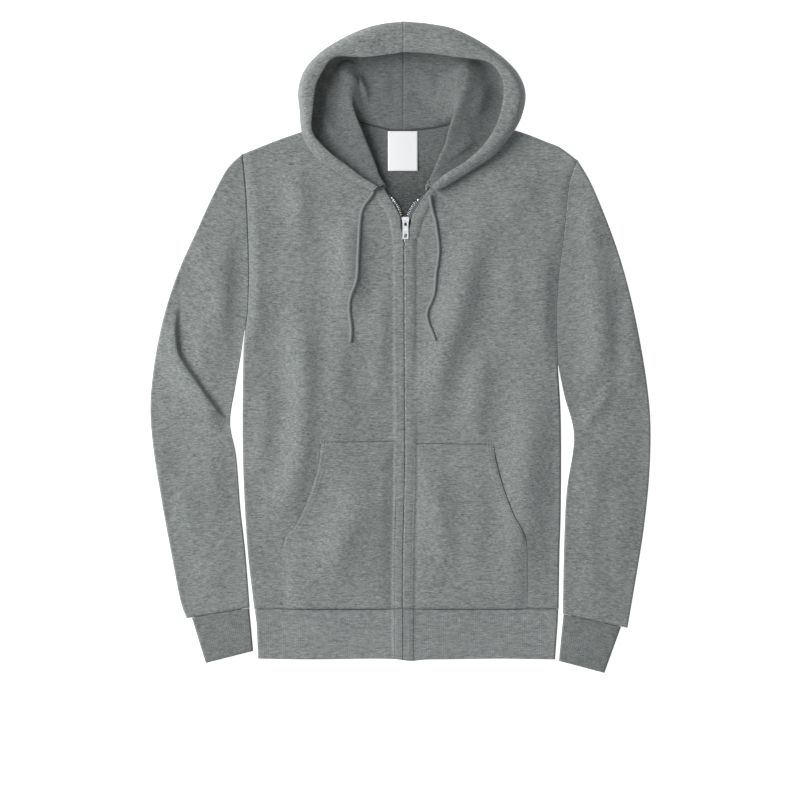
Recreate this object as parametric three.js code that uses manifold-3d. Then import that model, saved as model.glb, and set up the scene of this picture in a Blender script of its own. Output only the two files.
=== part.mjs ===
// A zip-up hooded sweatshirt of brushed fleece, laid flat on its back with the zip open at the
// neck and the hood spread open. Millimetres: +X to the right as seen from above, +Y towards the
// hood, +Z up from the surface. The origin is under the back panel, on the zip line at underarm
// level. Right and left are the wearer's, so the right side of the garment lies at -X.
import * as THREE from 'three';
import Module from 'manifold-3d';
import { mergeVertices } from 'three/addons/utils/BufferGeometryUtils.js';

const wasm = await Module();
wasm.setup();

// Cloth and seams
const fleece = 2.0;
const doubleFleece = 2.6;
const rib = 2.3;
const seamGap = 0.3;
const foldedEdgeHeight = 6.6;
const foldedEdgeRadius = 3.3;
const edgeSwellReach = 14;
const layHeight = 4.6;
const seamHeight = foldedEdgeHeight / 2;

// Folded edge of each front, over the zip tape
const weltWidth = 11;
const weltHeight = 6.9;
const weltSlope = 5;

// Zip
const tapeBottom = 3.3;
const tapeThickness = 0.8;
const tapeWidth = 9.5;
const chainHalfGap = 0.2;
const hemY = -424.5;
const waistSeamY = -356.3;

const bodyFabric = new THREE.MeshStandardMaterial({ color: 0x828685, roughness: 0.95, metalness: 0 });
const ribFabric = new THREE.MeshStandardMaterial({ color: 0x7c807f, roughness: 0.95, metalness: 0 });
const cordFabric = new THREE.MeshStandardMaterial({ color: 0x777b7a, roughness: 0.9, metalness: 0 });
const tapeFabric = new THREE.MeshStandardMaterial({ color: 0x6a7078, roughness: 0.9, metalness: 0 });
const labelFabric = new THREE.MeshStandardMaterial({ color: 0xf2f3f3, roughness: 0.6, metalness: 0 });
const metal = new THREE.MeshStandardMaterial({ color: 0xb9bcc0, roughness: 0.3, metalness: 1 });

// A table is a list of rows under named columns.
function table(names, rows) {
  const keys = names.split(' ');
  return rows.map((row) => Object.fromEntries(row.map((value, index) => [keys[index], value])));
}

function curve(rows) {
  return new THREE.SplineCurve(rows.map((row) => new THREE.Vector2(row.x, row.y)));
}

// Outline of the body, each edge from the waistband upwards
const rightSide = table('x y', [
  [-204.3, waistSeamY],
  [-209.2, -315.5],
  [-214.1, -266.6],
  [-219.0, -180.0],
  [-220.5, -99.3],
  [-219.2, -13.6],
  [-216.9, 23.1],
]);
const leftSide = table('x y', [
  [209.7, waistSeamY],
  [210.9, -278.8],
  [212.7, -217.6],
  [212.8, -100.6],
  [208.6, -25.8],
]);
const rightArmhole = table('x y', [
  [-216.9, 23.1],
  [-213.1, 53.0],
  [-211.8, 107.4],
  [-213.1, 160.5],
  [-215.8, 214.9],
  [-220.3, 262.5],
]);
const leftArmhole = table('x y', [
  [208.6, -25.8],
  [206.7, 23.1],
  [207.3, 63.9],
  [211.9, 117.0],
  [217.3, 160.5],
  [223.6, 220.3],
  [234.6, 254.3],
]);
const rightShoulder = table('x y', [
  [-220.3, 262.5],
  [-189.7, 274.7],
  [-161.2, 285.6],
  [-120.0, 299.0],
  [-80.9, 310.1],
]);
const leftShoulder = table('x y', [
  [234.6, 254.3],
  [212.8, 270.6],
  [193.8, 278.8],
  [148.9, 295.1],
  [79.6, 310.6],
]);

// Line on which the two fronts meet, from the hem up to the slider
const zipLine = table('x y', [
  [-2.0, hemY],
  [-2.0, waistSeamY],
  [-1.4, -280.2],
  [-0.1, -223.0],
  [1.2, -155.0],
  [0.6, 0.0],
  [0.0, 140.0],
]);

// Edge of each front where it opens, from where the fronts part up to the neck
const rightOpening = table('x y', [
  [-0.2, 144.0],
  [-1.8, 153.0],
  [-4.5, 163.0],
  [-5.5, 177.5],
  [-12.4, 191.1],
  [-25.4, 212.2],
]);
const leftOpening = table('x y', [
  [0.2, 144.0],
  [3.6, 153.0],
  [7.4, 163.0],
  [10.4, 177.5],
  [17.5, 190.5],
  [29.2, 209.4],
]);

// Bare edge of the zip tape beside the teeth, from the parting of the chain upwards
const rightChain = table('x y', [
  [0.6, 160.0],
  [0.4, 168.0],
  [-3.2, 177.0],
  [-7.4, 189.9],
  [-15.6, 201.6],
  [-23.0, 210.5],
]);
const leftChain = table('x y', [
  [1.4, 160.0],
  [2.2, 168.0],
  [4.4, 177.0],
  [10.0, 189.9],
  [18.4, 200.0],
  [26.0, 207.5],
]);

// Sleeves: outer edge from the shoulder to the cuff seam, inner edge from the underarm to it
const rightSleeveOuter = table('x y', [
  [-220.3, 262.5],
  [-241.4, 242.1],
  [-260.4, 206.7],
  [-281.7, 160.5],
  [-304.5, 110.2],
  [-322.0, 61.2],
  [-334.2, 12.9],
  [-342.2, -35.4],
  [-345.8, -84.3],
  [-341.5, -140.1],
  [-330.6, -208.1],
  [-317.2, -281.5],
  [-305.0, -344.1],
  [-296.5, -369.0],
]);
const rightSleeveInner = table('x y', [
  [-216.9, 23.1],
  [-222.5, -10.9],
  [-230.5, -57.1],
  [-237.0, -103.4],
  [-228.6, -149.6],
  [-223.2, -217.6],
  [-216.4, -278.8],
  [-210.4, -354.5],
]);
const leftSleeveOuter = table('x y', [
  [234.6, 254.3],
  [253.6, 223.0],
  [275.4, 171.4],
  [294.4, 117.0],
  [309.4, 61.2],
  [321.6, 1.4],
  [330.5, -55.8],
  [334.7, -108.8],
  [332.8, -176.8],
  [325.4, -247.5],
  [315.8, -308.7],
  [303.3, -382.0],
]);
const leftSleeveInner = table('x y', [
  [208.6, -25.8],
  [217.3, -66.0],
  [230.4, -122.0],
  [220.7, -194.5],
  [217.1, -266.6],
  [215.2, -362.6],
]);

// Cuffs: corners in plan, seam end then opening end
const cuffColumns =
  'name seamOuterX seamOuterY seamInnerX seamInnerY endOuterX endOuterY endInnerX endInnerY';
const cuffs = table(cuffColumns, [
  ['cuff_right', -289.3, -368.15, -211.0, -354.95, -270.4, -429.8, -205.6, -413.4],
  ['cuff_left', 294.6, -380.45, 216.2, -363.15, 271.9, -443.4, 209.9, -427.0],
]);

// Soft folds that stand in the cloth: a ridge from one point to another
const folds = table('fromX fromY toX toY height width', [
  [-88, 214, -77, 23, 2.4, 20],
  [-150, 190, -152, 40, 1.2, 16],
  [-160, -30, -187, -160, 2.6, 20],
  [-187, -160, -190, -255, 2.2, 18],
  [-70, -10, -72, -110, 1.2, 16],
  [-60, -198, -124, -334, 2.0, 15],
  [-205, 235, -200, 70, 1.4, 9],
  [157, 173, 137, -72, 2.8, 22],
  [52, 78, 35, -99, 2.0, 17],
  [137, -72, 110, -200, 1.6, 20],
  [118, -180, 105, -330, 1.4, 20],
  [190, 235, 198, 60, 1.2, 10],
  [-272, 150, -258, 50, 2.2, 13],
  [-317, 40, -316, -12, 4.5, 9],
  [-316, -12, -300, -36, 5.0, 10],
  [-300, -36, -246, -104, 4.6, 11],
  [-300, -150, -280, -240, 1.6, 18],
  [282, -52, 236, -116, 2.6, 9],
  [262, 170, 272, 60, 1.6, 15],
  [290, -180, 284, -300, 1.2, 18],
]);

// The hood is a sheet folded outwards. Each row follows it from the neck seam over the inner
// ridge, through the valley and round the rim to the free edge: x, y and z of each in turn.
const hoodColumns =
  'neckX neckY neckZ ridgeX ridgeY ridgeZ valleyX valleyY valleyZ ' +
  'rimX rimY rimZ crestX crestY crestZ edgeX edgeY edgeZ';
const rightHood = table(hoodColumns, [
  [-25.4, 215.6, 6.1, -27.2, 220.6, 9.7, -34.5, 217.5, 11.5, -41.5, 213, 14, -38.5, 216, 17.2, -35.5, 218.5, 18],
  [-40.1, 232.6, 5.7, -34.4, 232, 10.5, -52, 229.5, 10.8, -63, 223, 13.6, -59, 227, 18, -55, 230, 18.5],
  [-49.6, 250.2, 5.5, -40.8, 250.2, 12, -74, 246, 10.5, -92, 239.4, 14.5, -87, 244.5, 20, -81, 249.5, 21],
  [-59.2, 270.6, 5.2, -49, 270.6, 13, -95, 268, 10, -117.6, 258.4, 16, -112, 265, 24, -106, 269, 25.5],
  [-70, 292.4, 4.6, -56.4, 295, 14, -112.2, 292.4, 9.5, -135.3, 284.2, 18, -130.5, 290.5, 29, -125, 293, 30],
  [-78.6, 310, 4.4, -63.2, 311.4, 14, -118, 318.2, 6, -141.2, 322.3, 20, -136, 325, 35, -124.2, 327.8, 36],
  [-68.7, 307.8, 2.2, -71.4, 337.3, 12, -115, 346.8, 4, -143, 349.5, 20, -136.7, 351.6, 37, -120.4, 355, 37],
  [-56.4, 305.5, 1.9, -74.1, 363.1, 10, -108, 371.3, 3.5, -134, 376.7, 20, -127.8, 376.7, 38, -113.6, 371.3, 38],
  [-44.2, 302.1, 1.9, -74, 385, 8, -90.4, 387.6, 3.2, -109.5, 402.6, 20, -105.4, 398.5, 38, -97.2, 393, 38],
  [-30.6, 298.7, 1.9, -44.2, 363.1, 4, -52.4, 398, 2.8, -59.2, 429.8, 20, -59.2, 423, 38, -56.4, 394.4, 37],
  [-17, 296, 1.9, -22.4, 363.1, 2.5, -27.9, 401.2, 2.8, -29.2, 437.9, 19, -29.2, 431.1, 36, -23.8, 397.8, 35],
  [-1.8, 295.3, 1.9, -1.8, 363.1, 2.2, -1.8, 404, 2.8, -1.8, 441.2, 19, -1.8, 433.8, 36, -1.8, 401.2, 34],
]);
const leftHood = table(hoodColumns, [
  [29.4, 213.2, 6.1, 29.8, 219.7, 9.7, 35.5, 217.5, 11.5, 42, 212.5, 14, 39.5, 215.7, 17.2, 36.8, 218.5, 18],
  [44.2, 233.5, 5.7, 38.8, 235.5, 10.5, 51, 230.5, 10.8, 61, 223, 13.6, 57.5, 227.5, 18, 52, 233, 18.5],
  [52.4, 253, 5.5, 46, 253.5, 12, 76, 250, 10.5, 94.5, 244.3, 14.5, 90, 249, 20, 83.6, 252.8, 21],
  [65.3, 274.7, 5.2, 55.8, 274.7, 13, 98, 270, 10, 120.4, 261.8, 16, 115, 268, 24, 107.4, 274.7, 25.5],
  [70.6, 293.8, 4.6, 60.2, 295.1, 14, 116, 295, 9.5, 146.2, 291.7, 18, 141, 296, 29, 123.1, 298.5, 30],
  [77.4, 310.4, 4.4, 64.6, 312.8, 14, 126, 318, 6, 158.4, 315.5, 20, 152.5, 318.5, 35, 130.6, 319.6, 36],
  [66, 306.2, 2.2, 71.7, 337.3, 12, 128, 346, 4, 162.8, 345.4, 20, 156.5, 346.5, 37, 135, 346.8, 37],
  [53.7, 302.4, 1.9, 76.2, 357.7, 10, 122, 368, 3.5, 153, 371.3, 20, 147, 370, 38, 131.2, 368.6, 38],
  [41.5, 299.4, 1.9, 80.9, 384.9, 8, 102, 391, 3.2, 123.6, 399.8, 20, 119, 396.5, 38, 115.7, 386.5, 38],
  [27.9, 297.6, 1.9, 48.3, 356.3, 4, 61, 398, 2.8, 70, 430, 20, 69, 423.5, 38, 64.6, 395, 37],
  [12.9, 296.2, 1.9, 21.1, 358, 2.5, 28, 401, 2.8, 32, 438.2, 19, 31.5, 431, 36, 27.9, 400.1, 35],
  [-1.4, 295.3, 1.9, -1.4, 363.1, 2.2, -1.4, 404, 2.8, -1.4, 441.2, 19, -1.4, 433.8, 36, -1.4, 401.2, 34],
]);
const neckSeamGap = 1.3;

// Pockets: the top seam, the slanted opening and the lower side seam, towards the waistband
const rightPocketTop = table('x y', [
  [-114.1, -129.9],
  [-60.0, -129.2],
  [-11.6, -128.7],
]);
const rightPocketOpening = table('x y', [
  [-164.6, waistSeamY + seamGap],
  [-164.8, -268.5],
  [-149.1, -243.4],
  [-135.5, -216.2],
  [-124.2, -185.0],
  [-116.6, -155.7],
  [-114.1, -129.9],
]);
const leftPocketTop = table('x y', [
  [14.2, -131.2],
  [66.0, -132.2],
  [121.2, -133.1],
]);
const leftPocketOpening = table('x y', [
  [166.6, waistSeamY + seamGap],
  [165.6, -268.5],
  [147.2, -225.8],
  [133.6, -189.0],
  [124.4, -155.0],
  [121.2, -133.1],
]);

// Drawcords, each laid on its front from under the hood to its cut end
const cordDiameter = 4.6;
const cordHalfSides = 4;
const cordStep = 2.4 * cordDiameter;
const rightCord = table('x y z', [
  [-40.8, 213.0, 8.0],
  [-47.5, 202.6, 7.7],
  [-54.3, 193.8, 7.9],
  [-58.8, 182.2, 8.1],
  [-61.1, 164.6, 8.3],
  [-62.2, 144.2, 8.4],
  [-63.4, 121.7, 8.6],
  [-64.5, 96.6, 8.7],
  [-67.9, 83.0, 9.0],
  [-72.4, 72.1, 9.3],
  [-75.1, 60.2, 9.6],
  [-75.1, 47.6, 9.7],
  [-73.4, 34.0, 9.7],
  [-72.4, 20.4, 9.6],
  [-74.1, 5.4, 9.2],
]);
const leftCord = table('x y z', [
  [34.6, 207.4, 9.7],
  [35.9, 195.8, 9.5],
  [38.4, 185.0, 8.8],
  [41.6, 173.0, 7.9],
  [43.8, 160.5, 7.6],
  [46.1, 144.2, 7.6],
  [46.8, 128.4, 7.7],
  [44.9, 112.9, 8.2],
  [42.7, 99.3, 8.9],
  [41.6, 83.0, 9.3],
  [40.0, 71.1, 9.4],
  [35.8, 60.2, 9.2],
  [31.9, 51.7, 8.9],
  [30.6, 42.2, 8.7],
  [32.9, 31.3, 8.9],
  [37.6, 20.4, 9.3],
  [42.2, 8.2, 9.5],
]);

// Neck label, hung from the middle of the back neck seam
const label = { left: -22.5, right: 18.0, top: 293.6, bottom: 239.4, thickness: 0.5, lift: 1.2 };

// Slider and pull tab
const slider = {
  x: 1.35,
  top: 177.0,
  bottom: 164.6,
  topWidth: 10.2,
  bottomWidth: 7.6,
  lowerPlateZ: 2.3,
  plateThickness: 0.7,
  upperPlateZ: 4.4,
  upperPlateThickness: 1.8,
  postWidth: 1.6,
  postLength: 2.6,
  cornerRadius: 2.2,
};
const bridge = { width: 2.2, length: 5.4, openingHalf: 1.25, floorZ: 6.55, ceilingZ: 8.95, topZ: 10.0 };
const pull = {
  hingeY: 169.1,
  hingeZ: 7.75,
  width: 7.8,
  length: 23.2,
  thickness: 1.2,
  barReach: 1.0,
  barHalf: 0.6,
  windowWidth: 3.4,
  windowEnd: 4.4,
  holeWidth: 4.0,
  holeLength: 5.2,
  holeFromEnd: 1.9,
  cornerRadius: 0.7,
  windowRadius: 0.3,
  holeRadius: 0.5,
};

// Point of an outline nearest to a place, how far it is, and the direction away from it
function nearestOnOutline(place, outline) {
  let best = { distance: Infinity, away: new THREE.Vector2(1, 0) };
  for (const run of outline) {
    for (let index = 0; index + 1 < run.length; index += 1) {
      const step = run[index + 1].clone().sub(run[index]);
      const along = place.clone().sub(run[index]).dot(step) / step.lengthSq();
      const foot = run[index].clone().addScaledVector(step, THREE.MathUtils.clamp(along, 0, 1));
      const offset = place.clone().sub(foot);
      if (offset.length() < best.distance) {
        best = { distance: offset.length(), away: offset, along: step };
      }
    }
  }
  if (best.distance < 0.001) {
    best.away.set(-best.along.y, best.along.x);
  }
  best.away.normalize();
  return best;
}

const outlineSteps = 40;
const outlineOf = (rows) => curve(rows).getSpacedPoints(outlineSteps);

// Height of the soft folds over a place
function foldHeight(place) {
  let height = 0;
  for (const fold of folds) {
    const run = [new THREE.Vector2(fold.fromX, fold.fromY), new THREE.Vector2(fold.toX, fold.toY)];
    const distance = nearestOnOutline(place, [run]).distance;
    height += fold.height * Math.exp(-((distance / fold.width) ** 2));
  }
  return height;
}

// Height of the upper layer's outer face: it lies on the layer below, swells to the folded
// edges, stands in the folds, and is doubled at the welt beside the zip.
function upperHeight(place, foldedEdges, weltEdge) {
  const swell = (foldedEdgeHeight - layHeight) *
    Math.exp(-nearestOnOutline(place, foldedEdges).distance / edgeSwellReach);
  const lying = layHeight + swell + foldHeight(place);
  if (!weltEdge) {
    return lying;
  }
  const beyond = nearestOnOutline(place, [weltEdge]).distance - weltWidth;
  const share = 1 - THREE.MathUtils.smoothstep(beyond, 0, weltSlope);
  return lying + share * Math.max(0, weltHeight - lying);
}

// Surface between four edges: bilinear blend of the opposite edges less the corners' share.
// Each edge is a function of its own fraction.
function patch(bottom, top, left, right, across, up) {
  return up.map((v) => across.map((u) => {
    const point = bottom(u).multiplyScalar(1 - v).addScaledVector(top(u), v);
    point.addScaledVector(left(v), 1 - u).addScaledVector(right(v), u);
    point.addScaledVector(bottom(0), -(1 - u) * (1 - v)).addScaledVector(bottom(1), -u * (1 - v));
    point.addScaledVector(top(0), -(1 - u) * v).addScaledVector(top(1), -u * v);
    return point;
  }));
}

// An edge made of one or two curves, the first reaching up to the fraction given
function edge(first, until = 1, second = null) {
  const firstCurve = curve(first);
  const secondCurve = second ? curve(second) : null;
  return (fraction) => (fraction <= until
    ? firstCurve.getPointAt(Math.min(1, fraction / until))
    : secondCurve.getPointAt((fraction - until) / (1 - until)));
}

const reversed = (rows) => [...rows].reverse();
const shifted = (rows, dx, dy) => rows.map((row) => ({ x: row.x + dx, y: row.y + dy }));
const straight = (ax, ay, bx, by) => [
  { x: ax, y: ay },
  { x: (ax + bx) / 2, y: (ay + by) / 2 },
  { x: bx, y: by },
];

// Outer and inner point of a cloth layer over a place in plan. Near a folded edge the layer
// turns down to the seam height on a rounded profile; facing is 1 for the upper layer and -1
// for the lower one, whose outer face lies on the surface.
function turned(place, { distance, away }, outerHeight, facing, wall, gap) {
  const flat = Math.max(0, 1 - distance / foldedEdgeRadius);
  const steep = Math.sqrt(1 - flat * flat);
  const base = seamHeight + facing * gap / 2;
  const z = base + (outerHeight - base) * steep;
  return {
    outer: new THREE.Vector3(place.x, place.y, z),
    inner: new THREE.Vector3(
      place.x + away.x * wall * flat,
      place.y + away.y * wall * flat,
      z - facing * wall * steep,
    ),
  };
}

function layerPoint(place, foldedEdges, outerHeight, facing, wall, gap) {
  return turned(place, nearestOnOutline(place, foldedEdges), outerHeight, facing, wall, gap);
}

function signedVolume(positions, faces) {
  const [a, b, c] = [new THREE.Vector3(), new THREE.Vector3(), new THREE.Vector3()];
  let sum = 0;
  for (const [i, j, k] of faces) {
    a.copy(positions[i]);
    b.copy(positions[j]);
    c.copy(positions[k]);
    sum += a.dot(b.cross(c)) / 6;
  }
  return sum;
}

function solid(positions, faces) {
  const outward = signedVolume(positions, faces) > 0 ? faces : faces.map(([i, j, k]) => [i, k, j]);
  const geometry = new THREE.BufferGeometry();
  const numbers = positions.flatMap((p) => p.toArray());
  geometry.setAttribute('position', new THREE.Float32BufferAttribute(numbers, 3));
  geometry.setIndex(outward.flat());
  geometry.computeVertexNormals();
  return geometry;
}

// Closed wall between two sheets of points laid out in rows. With closed rows the sheets are
// tubes that stay open at both ends.
function wall(outer, inner, closedRows = false) {
  const rows = outer.length;
  const columns = outer[0].length;
  const positions = [...outer.flat(), ...inner.flat()];
  const top = (r, c) => r * columns + (c % columns);
  const bottom = (r, c) => rows * columns + r * columns + (c % columns);
  const faces = [];
  const quad = (a, b, c, d) => faces.push([a, b, c], [a, c, d]);
  const lastColumn = closedRows ? columns : columns - 1;
  for (let r = 0; r < rows - 1; r += 1) {
    for (let c = 0; c < lastColumn; c += 1) {
      quad(top(r, c), top(r, c + 1), top(r + 1, c + 1), top(r + 1, c));
      quad(bottom(r, c), bottom(r + 1, c), bottom(r + 1, c + 1), bottom(r, c + 1));
    }
    if (!closedRows) {
      quad(top(r, 0), top(r + 1, 0), bottom(r + 1, 0), bottom(r, 0));
      quad(top(r + 1, lastColumn), top(r, lastColumn), bottom(r, lastColumn), bottom(r + 1, lastColumn));
    }
  }
  for (let c = 0; c < lastColumn; c += 1) {
    quad(top(0, c + 1), top(0, c), bottom(0, c), bottom(0, c + 1));
    quad(top(rows - 1, c), top(rows - 1, c + 1), bottom(rows - 1, c + 1), bottom(rows - 1, c));
  }
  return solid(positions, faces);
}

// Outer and inner points of one layer over a grid of places
function panelPoints(grid, foldedEdges, heightAt, facing) {
  const points = grid.map((row) => row.map((place) =>
    layerPoint(place, foldedEdges, heightAt(place), facing, fleece, seamGap)));
  return {
    outer: points.map((row) => row.map((p) => p.outer)),
    inner: points.map((row) => row.map((p) => p.inner)),
  };
}

// Height of a faceted sheet over a place, from the facet that holds it
function heightOnFacets(sheet) {
  const facets = [];
  for (let r = 0; r + 1 < sheet.length; r += 1) {
    for (let c = 0; c + 1 < sheet[r].length; c += 1) {
      facets.push([sheet[r][c], sheet[r][c + 1], sheet[r + 1][c + 1]]);
      facets.push([sheet[r][c], sheet[r + 1][c + 1], sheet[r + 1][c]]);
    }
  }
  const inPlan = (p) => new THREE.Vector3(p.x, p.y, 0);
  const flats = facets.map((facet) => new THREE.Triangle(...facet.map(inPlan)));
  const weights = new THREE.Vector3();
  return (place) => {
    const spot = new THREE.Vector3(place.x, place.y, 0);
    const index = flats.findIndex((flat) => flat.containsPoint(spot));
    flats[index].getBarycoord(spot, weights);
    const [a, b, c] = facets[index];
    return a.z * weights.x + b.z * weights.y + c.z * weights.z;
  };
}

// Flattened tube, its upper and lower layer over the same places and joined at the folded edges,
// which are the two ends of each row
function flatTube(grid, heightAt, thickness) {
  const rings = grid.map((row) => {
    const ends = [row[0], row[row.length - 1]];
    const middle = row[Math.floor(row.length / 2)];
    const turns = row.map((place) => {
      const near = place.distanceTo(ends[0]) < place.distanceTo(ends[1]) ? ends[0] : ends[1];
      return { distance: place.distanceTo(near), away: middle.clone().sub(near).normalize() };
    });
    const upper = row.map((place, k) => turned(place, turns[k], heightAt(place), 1, thickness, 0));
    const lower = row.map((place, k) => turned(place, turns[k], 0, -1, thickness, 0));
    return [...upper, ...lower.slice(1, -1).reverse()];
  });
  const outer = rings.map((ring) => ring.map((p) => p.outer));
  const inner = rings.map((ring) => ring.map((p) => p.inner));
  return wall(outer, inner, true);
}

// Sheet thickened evenly to both sides of its middle surface
function thickSheet(grid, thickness) {
  const rows = grid.length;
  const columns = grid[0].length;
  const at = (r, c) => grid[THREE.MathUtils.clamp(r, 0, rows - 1)][THREE.MathUtils.clamp(c, 0, columns - 1)];
  const normals = grid.map((row, r) => row.map((point, c) => {
    const acrossRow = at(r, c + 1).clone().sub(at(r, c - 1));
    const alongRows = at(r + 1, c).clone().sub(at(r - 1, c));
    return acrossRow.cross(alongRows).normalize();
  }));
  const moved = (amount) => grid.map((row, r) => row.map((point, c) =>
    point.clone().addScaledVector(normals[r][c], amount)));
  return wall(moved(thickness / 2), moved(-thickness / 2));
}

const group = new THREE.Group();

function add(name, geometry, material) {
  const mesh = new THREE.Mesh(geometry, material);
  mesh.name = name;
  group.add(mesh);
}

// Fractions along an edge, close together where the cloth turns at a folded edge
const edgeTurn = [0, 0.0016, 0.0055, 0.0125];
const acrossFront = [
  0, 0.0022, 0.0078, 0.017, 0.06, 0.14, 0.24, 0.35, 0.47, 0.58, 0.68, 0.78, 0.87, 0.915, 0.95, 1,
];
const upFront = [0, 0.07, 0.14, 0.21, 0.28, 0.35, 0.42, 0.49, 0.56, 0.62, 0.69, 0.76, 0.83, 0.9, 0.955]
  .concat(edgeTurn.map((share) => 1 - share).reverse());

// Neck seam of a front, from the shoulder down to the opening, beside the hood's edge
function frontNeck(hoodRows, side, shoulder, opening) {
  const seam = hoodRows.slice(1, 5).map((row) => ({
    x: row.neckX + side * neckSeamGap,
    y: row.neckY - seamGap,
  }));
  return [shoulder[shoulder.length - 1], ...seam.reverse(), opening[opening.length - 1]];
}

const underarmShare = 0.62;
const shoulderShare = 0.58;
const partingShare = 0.86;

// The two fronts, from the side seam to the zip and from the waistband to the shoulder
function front(name, side, armhole, shoulder, opening, hoodRows, zipSide) {
  const meeting = shifted(zipLine.slice(1), zipSide * chainHalfGap, 0);
  const outerEdge = edge(side, underarmShare, armhole);
  const zipEdge = edge(meeting, partingShare, [meeting[meeting.length - 1], ...opening]);
  const topEdge = edge(shoulder, shoulderShare, frontNeck(hoodRows, zipSide, shoulder, opening));
  const bottomEdge = edge(straight(side[0].x, waistSeamY, meeting[0].x, waistSeamY));
  const foldedEdges = [outlineOf(side), outlineOf(shoulder)];
  const weltEdge = [...outlineOf(meeting), ...outlineOf(opening)];
  const grid = patch(bottomEdge, topEdge, outerEdge, zipEdge, acrossFront, upFront);
  const points = panelPoints(grid, foldedEdges, (place) => upperHeight(place, foldedEdges, weltEdge), 1);
  add(name, wall(points.outer, points.inner), bodyFabric);
  return heightOnFacets(points.outer);
}

const rightFrontHeight = front(
  'front_right', rightSide, rightArmhole, rightShoulder, rightOpening, rightHood, -1,
);
const leftFrontHeight = front(
  'front_left', leftSide, leftArmhole, leftShoulder, leftOpening, leftHood, 1,
);

// The back, under both fronts
const acrossBack = [
  0, 0.0011, 0.0039, 0.0085, 0.06, 0.15, 0.23, 0.3, 0.35, 0.41, 0.46, 0.5,
  0.54, 0.59, 0.65, 0.7, 0.77, 0.85, 0.94, 0.9915, 0.9961, 0.9989, 1,
];
const upBack = [0, 0.16, 0.32, 0.48, 0.62, 0.69, 0.76, 0.83, 0.9, 0.955]
  .concat(edgeTurn.map((share) => 1 - share).reverse());
const neckShares = { start: 0.3, end: 0.7 };

function backTopEdge() {
  const right = curve(rightShoulder);
  const left = curve(reversed(leftShoulder));
  const neckRows = [...rightHood.slice(5), ...reversed(leftHood.slice(5, 11))];
  const neck = curve([
    rightShoulder[rightShoulder.length - 1],
    ...neckRows.slice(1, -1).map((row) => ({ x: row.neckX, y: row.neckY - neckSeamGap })),
    leftShoulder[leftShoulder.length - 1],
  ]);
  return (fraction) => {
    if (fraction <= neckShares.start) {
      return right.getPointAt(fraction / neckShares.start);
    }
    if (fraction >= neckShares.end) {
      return left.getPointAt((fraction - neckShares.end) / (1 - neckShares.end));
    }
    return neck.getPointAt((fraction - neckShares.start) / (neckShares.end - neckShares.start));
  };
}

const backFolds = [rightSide, leftSide, rightShoulder, leftShoulder].map(outlineOf);
const backGrid = patch(
  edge(straight(rightSide[0].x, waistSeamY, leftSide[0].x, waistSeamY)),
  backTopEdge(),
  edge(rightSide, underarmShare, rightArmhole),
  edge(leftSide, underarmShare, leftArmhole),
  acrossBack,
  upBack,
);
const backPoints = panelPoints(backGrid, backFolds, () => 0, -1);
add('back_panel', wall(backPoints.outer, backPoints.inner), bodyFabric);

// Sleeves, flattened tubes from the armhole seam to the cuff seam
const acrossSleeve = [0, 0.005, 0.022, 0.05, 0.16, 0.32, 0.5, 0.68, 0.84, 0.95, 0.978, 0.995, 1];
const upSleeve = [
  0, 0.05, 0.1, 0.15, 0.2, 0.25, 0.3, 0.35, 0.39, 0.43,
  0.47, 0.51, 0.56, 0.63, 0.7, 0.78, 0.86, 0.93, 0.97, 1,
];

function sleeve(name, outerEdge, innerEdge, armhole, side) {
  const joined = shifted(reversed(armhole), side * 2 * seamGap, 0);
  const outerRows = [joined[0], ...outerEdge.slice(1)];
  const innerRows = [joined[joined.length - 1], ...innerEdge.slice(1)];
  const lastOuter = outerRows[outerRows.length - 1];
  const lastInner = innerRows[innerRows.length - 1];
  const foldedEdges = [outlineOf(outerRows), outlineOf(innerRows)];
  const grid = patch(
    edge(joined),
    edge(straight(lastOuter.x, lastOuter.y, lastInner.x, lastInner.y)),
    edge(outerRows),
    edge(innerRows),
    acrossSleeve,
    upSleeve,
  );
  add(name, flatTube(grid, (place) => upperHeight(place, foldedEdges), fleece), bodyFabric);
}

sleeve('sleeve_right', rightSleeveOuter, rightSleeveInner, rightArmhole, -1);
sleeve('sleeve_left', leftSleeveOuter, leftSleeveInner, leftArmhole, 1);

// Cuffs, short rib tubes that are narrower than the sleeve
const acrossCuff = [0, 0.02, 0.08, 0.18, 0.4, 0.6, 0.82, 0.92, 0.98, 1];
const alongCuff = [0, 0.33, 0.67, 1];
for (const cuff of cuffs) {
  const outerRows = straight(cuff.seamOuterX, cuff.seamOuterY, cuff.endOuterX, cuff.endOuterY);
  const innerRows = straight(cuff.seamInnerX, cuff.seamInnerY, cuff.endInnerX, cuff.endInnerY);
  const grid = patch(
    edge(straight(cuff.seamOuterX, cuff.seamOuterY, cuff.seamInnerX, cuff.seamInnerY)),
    edge(straight(cuff.endOuterX, cuff.endOuterY, cuff.endInnerX, cuff.endInnerY)),
    edge(outerRows),
    edge(innerRows),
    acrossCuff,
    alongCuff,
  );
  add(cuff.name, flatTube(grid, () => foldedEdgeHeight, rib), ribFabric);
}

// Waistband, one strip from the zip round the back to the zip again
const bandRows = table('y right left', [
  [waistSeamY - seamGap, -203.8, 209.3],
  [-376.0, -201.4, 208.4],
  [-400.0, -200.2, 206.6],
  [hemY, -199.4, 204.8],
]);
const bandLayHeight = 5.4;
const acrossBandFront = [0, 0.0022, 0.0078, 0.017, 0.08, 0.25, 0.45, 0.65, 0.85, 0.915, 0.95, 1];
const acrossBandBack = [
  0.0011, 0.0039, 0.0085, 0.08, 0.25, 0.42, 0.58, 0.75, 0.92, 0.9915, 0.9961, 0.9989,
];

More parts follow.
